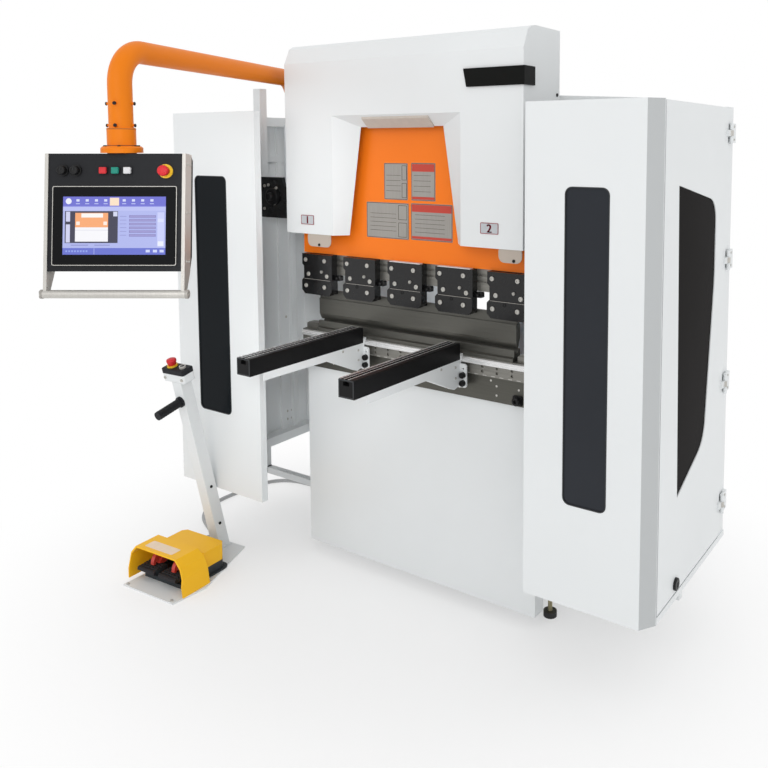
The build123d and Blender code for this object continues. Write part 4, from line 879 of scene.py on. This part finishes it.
# %% Pendant frame
DROP = (-0.341, -0.930)
PENDANT_TOP = 1.647
PENDANT_FACE = -0.043
PENDANT_TILT, PENDANT_TURN = -6.5, 33.1
TOP_DROP = 0.006
FLUTE = 0.05


def turn_about(axis, degrees):
    """Rotation matrix about X or Z."""
    c, s = math.cos(math.radians(degrees)), math.sin(math.radians(degrees))
    if axis == "x":
        return np.array([[1, 0, 0], [0, c, -s], [0, s, c]])
    return np.array([[c, -s, 0], [s, c, 0], [0, 0, 1]])


def hang(shape):
    """Pendant frame to the machine: tilt about the top, lower it a little, turn, move to the drop tube."""
    verts, faces = shape
    level = (0, 0, PENDANT_TOP)
    tilted = (verts - level) @ turn_about("x", PENDANT_TILT).T + (0, 0, PENDANT_TOP - TOP_DROP)
    return tilted @ turn_about("z", PENDANT_TURN).T + (DROP[0], DROP[1], 0), faces


def on_face(shape, x, down):
    """On the pendant's front, x from its centre and down from its top, then hung."""
    return hang(set_on(shape, (x, PENDANT_FACE, PENDANT_TOP - down), FRONT))


def grip_knob(radius, height, teeth=18):
    """Knob with a fluted side: radius * (1 + FLUTE cos(teeth a)) below a smooth top."""
    sides = teeth * 4
    a = np.linspace(0, 2 * np.pi, sides, endpoint=False)
    fluted = 1 + FLUTE * np.cos(teeth * a)
    stations = [(fluted, 0.0), (fluted, height * 0.85), (0.86, height), (0.6, height), (0.55, height * 0.93)]
    return loft([np.column_stack([radius * k * np.cos(a), radius * k * np.sin(a), np.full(sides, w)])
                 for k, w in stations])


def pendant_piece(name, shapes, finish, smooth=False):
    """A piece that swings and turns with the pendant."""
    return joined(name, shapes, finish, "console_group", smooth)


print("pendant turned %.1f and tilted %.1f degrees" % (PENDANT_TURN, PENDANT_TILT))

# %% Pendant buttons
KNOB_X = (-0.150, -0.113)
CAP_X = {"cap_red": -0.034, "cap_green": 0.001, "cap_white": 0.036}
BUTTON_DOWN = 0.049
STOP = (0.145, 0.051)
skirt = turned([(0.0165, 0.0), (0.0165, 0.005), (0.0150, 0.0062)], 28)
knobs = [on_face(shape, x, BUTTON_DOWN) for shape in (skirt, grip_knob(0.0125, 0.0185)) for x in KNOB_X]
pendant_piece("pendant_knobs", knobs, "black_plastic")
pointer = plate((0.0018, 0.008, 0.0008, 3), 0.0184, 0.0190)
marks = [on_face(pointer, x, BUTTON_DOWN - 0.0045) for x in KNOB_X]
pendant_piece("pendant_knob_marks", marks, "gasket")
cap = plate((0.0206, 0.0188, 0.0025), 0.003, 0.0108, 0.0018)
for finish, x in CAP_X.items():
    pendant_piece("button_" + finish, [on_face(cap, x, BUTTON_DOWN)], finish)
collar = ring((0.0405, 0.0405, 0.0202, 9), (0.024, 0.024, 0.0119, 9), 0.0, 0.0046)
pendant_piece("stop_collar", [on_face(collar, *STOP)], "signal_yellow")
mushroom = turned([(0.0100, 0.0045), (0.0105, 0.016), (0.0148, 0.0195), (0.0158, 0.0245), (0.0150, 0.0290),
                   (0.0120, 0.0315), (0.0060, 0.0325), (0.0020, 0.0327)], 28)
pendant_piece("stop_head", [on_face(mushroom, *STOP)], "cap_red", smooth=True)
print("pendant buttons", len(KNOB_X) + len(CAP_X) + 1)

# %% Screen frame and pendant seams
HALF_WIDE, HALF_DEEP = 0.202, 0.043
HANDLE_HALF, HANDLE_Y, HANDLE_DOWN = 0.208, -0.039, 0.403
SIDES = ((1, RIGHT_SIDE), (-1, LEFT_SIDE))
frame_line = ring((0.3560, 0.2270, 0.005), (0.3526, 0.2236, 0.004), 0.0036, 0.0046)
pendant_piece("screen_frame", [on_face(frame_line, 0.0, 0.2075)], "silver_rail")
seam = plate((0.380, 0.0012, 0.0005, 2), 0.0, 0.0003)
seams = [on_face(seam, 0.0, down) for down in (0.014, 0.0865, 0.330)]
pendant_piece("pendant_seams", seams, "black_plastic")
screw = head((0.004, 0.0034, 0.002, 0.0018), (SEAT, 0.0012, 0.0018, 0.0006), 10)
side_screws = [hang(set_on(screw, (sign * HALF_WIDE, y, PENDANT_TOP - down), facing))
               for sign, facing in SIDES for y in (-0.03, -0.01) for down in (0.03, 0.17, 0.31)]
pendant_piece("pendant_side_screws", side_screws, "zinc_screw")
slot = plate((0.12, 0.004, 0.0018, 3), -0.0005, 0.0006)
slots = [hang(set_on(slot, (0.0, HALF_DEEP, PENDANT_TOP - down), REAR))
         for down in np.linspace(0.10, 0.22, 9)]
pendant_piece("pendant_rear_slots", slots, "black_plastic")
end = head((0.0132, 0.0118, 0.0045, 0.004), (-0.004, 0.003, 0.0045, 0.003), 20)
ends = [hang(set_on(end, (sign * HANDLE_HALF, HANDLE_Y, PENDANT_TOP - HANDLE_DOWN), facing))
        for sign, facing in SIDES]
pendant_piece("handle_ends", ends, "bare_plate")
print("pendant trim done")

# %% [markdown]
# ## Screen picture
#
# The lit picture is one flat mesh of rectangles and a round mark. Each has its colour as a face attribute,
# and the material reads that attribute for its glow, so no image is needed. The layout is a plain one of
# bars, fields and a drawing area.

# %% Lit fields
LCD_WIDE, LCD_HIGH = 0.294, 0.166
LCD_DOWN, LCD_OUT, LAYER = 0.207, 0.0043, 0.00001
HOME_X, HOME_Z = -0.445 * LCD_WIDE, 0.42 * LCD_HIGH
HOME_R, HOME_OUT, HOME_SIDES = 0.0085, 0.0049, 20
BAR, PALE, BRIGHT, MARK = (92, 104, 206), (206, 208, 240), (214, 220, 250), (120, 122, 190)
LINE = 0.065
# Left, top, right and bottom of each field as fractions of the screen, and its colour.
FIELDS = [(0.0, 0.0, 1.0, 1.0, (172, 180, 236)),
          (0.0, 0.0, 1.0, 0.16, (98, 100, 206)), (0.0, 0.16, 1.0, 0.175, (128, 130, 222)),
          (0.0, 0.175, 1.0, 0.245, (184, 190, 242)), (0.0, 0.885, 1.0, 1.0, BAR),
          (0.455, 0.02, 0.545, 0.155, (250, 224, 196)),
          (0.02, 0.25, 0.535, 0.80, (24, 24, 62)), (0.03, 0.26, 0.07, 0.43, PALE),
          (0.03, 0.48, 0.07, 0.79, PALE), (0.49, 0.26, 0.53, 0.34, (210, 214, 240)),
          (0.12, 0.28, 0.44, 0.53, (248, 166, 106)), (0.18, 0.29, 0.39, 0.36, (250, 246, 242)),
          (0.12, 0.53, 0.44, 0.775, (246, 246, 250)), (0.13, 0.43, 0.165, 0.49, (250, 236, 224)),
          (0.395, 0.43, 0.43, 0.49, (250, 236, 224)), (0.12, 0.575, 0.44, 0.582, (210, 210, 226)),
          (0.92, 0.27, 0.985, 0.86, (198, 204, 248)), (0.925, 0.38, 0.98, 0.44, BRIGHT),
          (0.925, 0.77, 0.98, 0.85, (232, 236, 252)), (0.305, 0.89, 0.309, 0.995, (190, 200, 250)),
          (0.08, 0.83, 0.25, 0.842, MARK), (0.31, 0.83, 0.46, 0.842, MARK)]
for x0, y0, x1, y1, colour in ((0.645, 0.32, 0.905, 0.365, (128, 124, 190)),
                               (0.652, 0.328, 0.898, 0.357, (150, 146, 204)),
                               (0.555, 0.335, 0.62, 0.345, (140, 142, 206))):
    FIELDS += [(x0, y0 + LINE * k, x1, y1 + LINE * k, colour) for k in range(6)]
TOP_MARKS = [0.09 * k for k in (0, 1, 2, 3, 5, 6, 7, 8)]
FIELDS += [(0.13 + shift, 0.045, 0.16 + shift, 0.085, BRIGHT) for shift in TOP_MARKS]
FIELDS += [(0.125 + shift, 0.115, 0.165 + shift, 0.13, (186, 194, 244)) for shift in TOP_MARKS]
FIELDS += [(0.03 + 0.028 * k, 0.925, 0.048 + 0.028 * k, 0.955, (140, 160, 236)) for k in range(8)]
FIELDS += [(x, 0.915, x + 0.04, 0.96, (206, 214, 250)) for x in (0.81, 0.88, 0.945)]


def field(x0, y0, x1, y1, level):
    """Flat rectangle in fractions of the screen, from its top left, a little further out for each level."""
    u = (np.array([x0, x1, x1, x0]) - 0.5) * LCD_WIDE
    v = (0.5 - np.array([y1, y1, y0, y0])) * LCD_HIGH
    return np.column_stack([u, v, np.full(4, LCD_OUT + LAYER * level)])


lcd_verts = np.concatenate([field(*f[:4], k) for k, f in enumerate(FIELDS)])
lcd_faces = np.arange(len(lcd_verts)).reshape(-1, 4).tolist()
a = np.linspace(0, 2 * np.pi, HOME_SIDES, endpoint=False)
home = np.column_stack([HOME_X + HOME_R * np.cos(a), HOME_Z + HOME_R * np.sin(a),
                        np.full(HOME_SIDES, HOME_OUT)])
lcd_faces.append(list(range(len(lcd_verts), len(lcd_verts) + HOME_SIDES)))
lcd_verts, lcd_faces = on_face((np.concatenate([lcd_verts, home]), lcd_faces), 0.0, LCD_DOWN)
lcd_paint = Paint("lit_picture", Roughness=0.15, Emission_Strength=0.8)
tint = lcd_paint.node("ShaderNodeAttribute", {"attribute_name": "tint"}, {})[0]
lcd_paint.link(tint, "Emission Color")
lcd_paint.colour(0.86, tint, (0.0, 0.0, 0.0, 1.0))
picture = new_piece("screen_picture", lcd_verts, lcd_faces, lcd_paint.material, "console_group")
tints = picture.data.color_attributes.new("tint", "FLOAT_COLOR", "CORNER")
per_face = [rgb(*f[4]) for f in FIELDS] + [rgb(236, 238, 252)]
counts = np.array([len(f) for f in lcd_faces])
tints.data.foreach_set("color", np.repeat(np.array(per_face), counts, 0).ravel())
print("lit fields", len(FIELDS))

# %% [markdown]
# ## Swing tube
#
# Two rows of screws hold the drop tube in its collar, two dark seams run round the collar, and six bolts
# hold its flange to the pendant.

# %% Tube details
COLLAR_RADIUS, FLANGE_RADIUS = 0.0395, 0.0485
FLANGE_UP = 0.0192


def on_tube(shape, radius, angle, up, facing):
    """Set beside or over the drop tube, at a radius and an angle, and up from the pendant's top."""
    place = (DROP[0] + radius * math.cos(angle), DROP[1] + radius * math.sin(angle), PENDANT_TOP + up)
    return set_on(shape, place, facing)


caps = []
tube_screw = head((0.0052, 0.0044, 0.0022, 0.002), (0.0, 0.0028, 0.0036, 0.0026))
for up in (0.080, 0.143):
    for quarter in range(4):
        angle = math.radians(PENDANT_TURN + 90 * quarter)
        outwards = ((-math.sin(angle), math.cos(angle), 0.0), (0, 0, 1))
        caps.append(on_tube(tube_screw, COLLAR_RADIUS, angle, up, outwards))
joined("collar_screws", caps, "black_plastic", "arm_group")
seam = ring((0.0808, 0.0808, 0.0403, 10), (0.0780, 0.0780, 0.0389, 10), 0.0, 0.0012)
seams = [on_tube(seam, 0.0, 0.0, up, TOP) for up in (0.0215, 0.0690)]
joined("collar_seams", seams, "shadow_gap", "arm_group")
bolt = head((0.0048, 0.004, 0.0024, 0.0022), (SEAT, 0.0028, 0.0036, 0.0016), 10)
flange_bolts = [on_tube(bolt, FLANGE_RADIUS, angle, FLANGE_UP, TOP)
                for angle in np.arange(6) * np.pi / 3 + 0.3]
joined("flange_bolts", flange_bolts, "black_plastic", "arm_group")
print("tube caps", len(caps), "flange bolts", len(flange_bolts))

# %% [markdown]
# ## Foot pedal stand
#
# The stand has its own frame too: its post leans towards the operator and the whole stand is turned a
# little. Each pedal gets a red lever over its cast arm and a ribbed tread on its pad, and they move with
# the pedal.

# %% Stand frame
STAND = (-0.857, -0.197)
STAND_TURN, POST_LEAN = 3.8, 13.4
PLATE_TOP = 0.006


def stood(shape):
    """Stand frame to the machine: turn a little and move to its place."""
    verts, faces = shape
    return verts @ turn_about("z", STAND_TURN).T + (STAND[0], STAND[1], 0), faces


def on_stand(shape, place, facing):
    """Set on a face of the stand."""
    return stood(set_on(shape, place, facing))


def on_post(shape, place, facing):
    """Set on the leaning post, whose own foot is at the stand's origin, on the floor plate."""
    verts, faces = set_on(shape, place, facing)
    return stood((verts @ turn_about("x", POST_LEAN).T + (0, 0, PLATE_TOP), faces))


small_bolt = head((0.006, 0.0052, 0.0028, 0.0026), (SEAT, 0.003, 0.0042, 0.002))
post_bolts = [on_post(small_bolt, (sign * 0.025, 0.0, up), facing) for sign, facing in SIDES
              for up in (0.115, 0.290)]
joined("post_bolts", post_bolts, "black_plastic")
weld = ring((0.062, 0.064, 0.005), (0.048, 0.050, 0.003), 0.0, 0.004)
joined("post_weld", [on_stand(weld, (0, 0.002, PLATE_TOP - 0.0005), TOP)], "white_paint")
print("post bolts", len(post_bolts))

# %% Stop button and grip of the stand
BOX_TOP, BOX_SEAM = 0.826, 0.8055
STOP_X, PUSH_X = -0.032, 0.025
GRIP_UP, GRIP_START, GRIP_PITCH = 0.688, -0.040, 0.011
collar = ring((0.0415, 0.0415, 0.0207, 9), (0.024, 0.024, 0.0119, 9), 0.0, 0.0064)
joined("stand_stop_collar", [on_post(collar, (STOP_X, 0.0, BOX_TOP), TOP)], "signal_yellow")
cap = turned([(0.0148, 0.0055), (0.0160, 0.012), (0.0184, 0.0185), (0.0192, 0.0245), (0.0180, 0.0290),
              (0.0140, 0.0312), (0.0070, 0.0320), (0.0020, 0.0321)], 28)
joined("stand_stop_head", [on_post(cap, (STOP_X, 0.0, BOX_TOP), TOP)], "cap_red", smooth=True)
push = ring((0.026, 0.026, 0.0129, 8), (0.018, 0.018, 0.0089, 8), 0.0, 0.0095)
joined("stand_push_ring", [on_post(push, (PUSH_X, 0.0, BOX_TOP), TOP)], "silver_rail")
groove = ring((0.0352, 0.0352, 0.0175, 8), (0.0332, 0.0332, 0.0165, 8), 0.0, 0.003)
grooves = [on_post(groove, (0.0, GRIP_START - GRIP_PITCH * k, GRIP_UP), FRONT) for k in range(9)]
joined("grip_ribs", grooves, "black_plastic")
seam = ring((0.1186, 0.0566, 0.008), (0.1156, 0.0536, 0.007), 0.0, 0.0014)
joined("switch_seam", [on_post(seam, (-0.008, 0.0, BOX_SEAM), TOP)], "shadow_gap")
box_screws = [on_post(small_bolt, (x, -0.027, 0.788), FRONT) for x in (-0.054, 0.038)]
joined("switch_screws", box_screws, "zinc_screw")
print("stand trim done")

# %% Pedals
LEVER = [(-0.2035, 0.0725), (-0.2240, 0.0790), (-0.2440, 0.0842), (-0.2620, 0.0822), (-0.2765, 0.0775),
         (-0.2905, 0.0650), (-0.3000, 0.0545), (-0.3000, 0.0460), (-0.2880, 0.0500), (-0.2700, 0.0520),
         (-0.2440, 0.0585), (-0.2035, 0.0520)]
HOOK = [(-0.2760, 0.0600), (-0.2760, 0.0930), (-0.2860, 0.0985), (-0.2980, 0.0960), (-0.3090, 0.0860),
        (-0.3160, 0.0720), (-0.3180, 0.0550), (-0.3060, 0.0550), (-0.3030, 0.0680), (-0.2960, 0.0760),
        (-0.2890, 0.0740), (-0.2860, 0.0600)]
NOSE = [(-0.3375, 0.0405), (-0.3375, 0.0535), (-0.3410, 0.0540), (-0.3470, 0.0510), (-0.3495, 0.0455),
        (-0.3475, 0.0395), (-0.3420, 0.0365)]
PEDALS = (("left", -0.032), ("right", 0.084))
LEVER_HALF, HOOK_HALF, TREAD_HALF, NOSE_HALF = 0.0155, 0.008, 0.043, 0.0465
RIB_HALF, RIB_HIGH, RIB_SUNK = 0.0035, 0.003, 0.002
TREADS = [(-0.296 - 0.011 * k, 0.0553 - 0.0006 * k) for k in range(4)]


def side_profile(points, middle, half):
    """Outline in Y and Z carried along X to both sides of the middle; counterclockwise as seen from +X."""
    outline = np.asarray(points, float)
    ends = (middle - half, middle + half)
    return stood(loft(np.stack([np.column_stack([np.full(len(outline), x), outline]) for x in ends])))


def rib_section(y, z):
    """A low half round on a pad, with its foot a little below the pad's top."""
    a = np.linspace(0, np.pi, 5)
    arc = np.column_stack([y + RIB_HALF * np.cos(a), z + RIB_HIGH * np.sin(a)])
    return np.concatenate([arc, [[y - RIB_HALF, z - RIB_SUNK], [y + RIB_HALF, z - RIB_SUNK]]])


for side, middle in PEDALS:
    body = "pedal_%s_group" % side
    arms = [side_profile(LEVER, middle, LEVER_HALF), side_profile(HOOK, middle, HOOK_HALF)]
    joined("pedal_lever_" + side, arms, "red_lever", body)
    treads = [side_profile(rib_section(y, z), middle, TREAD_HALF) for y, z in TREADS]
    treads.append(side_profile(NOSE, middle, NOSE_HALF))
    joined("pedal_tread_" + side, treads, "tread_rubber", body)
print("pedals dressed")

# %% Cover of the pedals
label = plate((0.150, 0.046, 0.006), 0.0, 0.0006)
joined("cover_label", [on_stand(label, (0.010, -0.300, 0.128), TOP)], "blank_label")
cover_bolts = [on_stand(small_bolt, (x, -0.108, 0.075), REAR) for x in (-0.045, 0.115)]
cover_bolts += [on_stand(small_bolt, (x, -0.395, PLATE_TOP), TOP) for x in (-0.075, 0.165)]
joined("cover_bolts", cover_bolts, "zinc_screw")
foot_rim = ring((0.250, 0.150, 0.030, 6), (0.220, 0.120, 0.018, 6), 0.0, 0.006)
joined("housing_foot", [on_stand(foot_rim, (0.037, -0.178, PLATE_TOP), TOP)], "cast_dark")
print("cover dressed")

# %% [markdown]
# ## Back and inside
#
# The photograph doesn't show the back. It is finished in the plain way of such machines: two cabinet doors
# with a lock and three hinges each, a louvred vent below, and screws around the cover sheet.

# %% Cabinet doors
DOOR_FACE, DOOR_MIDDLE = 0.790, 1.54
HINGE_X, HINGE_UPS, LOCK_X = 0.379, (-0.2, 0.0, 0.2), 0.030
barrel = turned([(0.006, -0.030), (0.006, 0.030)])
hinges = [set_on(barrel, (x, DOOR_FACE + 0.001, DOOR_MIDDLE + up), TOP)
          for x in (-HINGE_X, HINGE_X) for up in HINGE_UPS]
disc = turned([(0.016, 0.0), (0.016, 0.0014), (0.0145, 0.0019)], 24)
locks = set_at(disc, [(x, DOOR_FACE, DOOR_MIDDLE) for x in (-LOCK_X, LOCK_X)], REAR)
joined("cabinet_hinges", hinges, "silver_rail")
joined("cabinet_locks", locks, "black_plastic")
print("cabinet hinges", len(hinges))

# %% Vent and rear screws
PANEL_SCREW_Y = 0.744
VENT_X, VENT_LOW, VENT_HIGH, SLATS = -0.190, 0.585, 0.755, 12
vent_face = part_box("rear_panel")[1].y
slat = plate((0.216, 0.006, 0.0028), 0.0, 0.0016, 0.0006)
slats = set_at(slat, [(VENT_X, vent_face, z) for z in np.linspace(VENT_LOW, VENT_HIGH, SLATS)], REAR)
joined("vent_slats", slats, "shadow_gap")
around = [(x, PANEL_SCREW_Y, z) for x in (-0.38, 0.0, 0.38) for z in (0.11, 0.44, 0.87)]
screws("rear_panel_screws", around, REAR, *SHEET_SCREW)
print("slats", len(slats))

# %% [markdown]
# ## Studio
#
# The floor and the backdrop are one pale sheet that curves up behind the machine, so that no horizon shows.
# Close to the machine the floor is a real surface that takes a soft shadow. Further away, and for the
# camera and for reflections only, it fades into plain white. Large soft lamps light the front and the right
# side evenly, and two narrow ones reach through the gap beside the left guard.

# %% Floor and light
SWEEP_HALF, SWEEP_FRONT, SWEEP_REACH, SWEEP_BEND, SWEEP_HIGH = 14.0, -12.0, 7.0, 3.0, 9.0
SHADOW_MIDDLE = (-0.05, 0.05)
SHADOW_NEAR, SHADOW_FAR, NEAR_WHITE = 0.75, 1.9, 0.45
PURE_WHITE = (1.0, 1.0, 1.0, 1.0)
SKY_STRENGTH = 0.84


def sweep_floor():
    """Profile in Y and Z: flat floor, quarter circle, wall; carried along X."""
    a = np.linspace(0, np.pi / 2, 24)
    y = np.concatenate([[SWEEP_FRONT], SWEEP_REACH + SWEEP_BEND * np.sin(a), [SWEEP_REACH + SWEEP_BEND]])
    z = np.concatenate([[0.0], SWEEP_BEND - SWEEP_BEND * np.cos(a), [SWEEP_HIGH]])
    x = np.array([-SWEEP_HALF, SWEEP_HALF])
    verts = np.stack(np.broadcast_arrays(x[:, None], y[None], z[None]), -1).reshape(-1, 3)
    return verts, grid_faces(2, len(y))


def white_to_camera(paint, surface, keep):
    """Mixes a surface with white light of strength 1 for the rays of camera, gloss and glass."""
    rays = paint.node("ShaderNodeLightPath", {}, {})
    seen = rays[0].most(rays[3]).most(rays[6])
    glow = paint.node("ShaderNodeEmission", {}, {"Color": PURE_WHITE, "Strength": 1.0})[0]
    both = paint.node("ShaderNodeMixShader", {}, {0: seen * keep, 1: surface, 2: glow})[0]
    output = paint.tree.nodes["Material Output"]
    paint.tree.links.new(both.socket, output.inputs["Surface"])


floor_paint = Paint("studio_floor", Roughness=0.9)
floor_paint.shader.inputs["Base Color"].default_value = (0.92, 0.92, 0.92, 1.0)
across = floor_paint.axis(0) - SHADOW_MIDDLE[0]
along = floor_paint.axis(1) - SHADOW_MIDDLE[1]
far = (across * across + along * along * 1.3).root()
fade = floor_paint.node("ShaderNodeMapRange", {"interpolation_type": "SMOOTHSTEP"},
                        {0: far, 1: SHADOW_NEAR, 2: SHADOW_FAR, 3: NEAR_WHITE, 4: 1.0})[0]
white_to_camera(floor_paint, Value(floor_paint, floor_paint.shader.outputs[0]), fade)
verts, faces = sweep_floor()
floor_mesh = bpy.data.meshes.new("floor")
floor_mesh.from_pydata(verts.tolist(), [], faces[:, ::-1].tolist())
floor_mesh.materials.append(floor_paint.material)
floor = bpy.data.objects.new("floor", floor_mesh)
into_scene(floor)


def lamp(kind, name, place, target, watts, **shape):
    """A lamp at a place, turned to a target; shape gives the settings of its kind."""
    data = bpy.data.lights.new(name, kind)
    data.energy = watts
    for key, value in shape.items():
        setattr(data, key, value)
    made = bpy.data.objects.new(name, data)
    made.location = place
    ahead = np.array(target) - np.array(place)
    level = math.atan2(ahead[0], -ahead[1]) + math.pi
    made.rotation_euler = (math.acos(-ahead[2] / np.linalg.norm(ahead)), 0.0, level)
    into_scene(made)


lamp("AREA", "key", (1.6, -5.4, 3.2), (0, 0, 1.0), 58, size=4.0)
lamp("AREA", "left", (-3.6, -4.2, 2.6), (-0.8, 0, 1.0), 14, size=3.0)
lamp("AREA", "side", (5.0, 0.5, 2.4), (0, 0, 1.0), 17, size=4.0)
lamp("AREA", "top", (0.5, 0.5, 6.0), (0, 0, 0), 17, size=5.0)
for height in (1.40, 0.62):
    lamp("SPOT", "gap", (1.75, -2.45, 1.9), (-1.03, 0.35, height), 190,
         spot_size=math.radians(15), spot_blend=1.0, shadow_soft_size=0.3)
world = bpy.data.worlds.new("world")
world.use_nodes = True
sky = world.node_tree
around, behind = sky.nodes["Background"], sky.nodes.new("ShaderNodeBackground")
for shader, strength in ((around, SKY_STRENGTH), (behind, 1.0)):
    shader.inputs[0].default_value = PURE_WHITE
    shader.inputs[1].default_value = strength
rays = sky.nodes.new("ShaderNodeLightPath")
choice = sky.nodes.new("ShaderNodeMixShader")
sky.links.new(rays.outputs[0], choice.inputs[0])
sky.links.new(around.outputs[0], choice.inputs[1])
sky.links.new(behind.outputs[0], choice.inputs[2])
sky.links.new(choice.outputs[0], sky.nodes["World Output"].inputs[0])
bpy.context.scene.world = world
bpy.context.scene.view_settings.view_transform = "Standard"
print("lamps", len(bpy.data.lights))
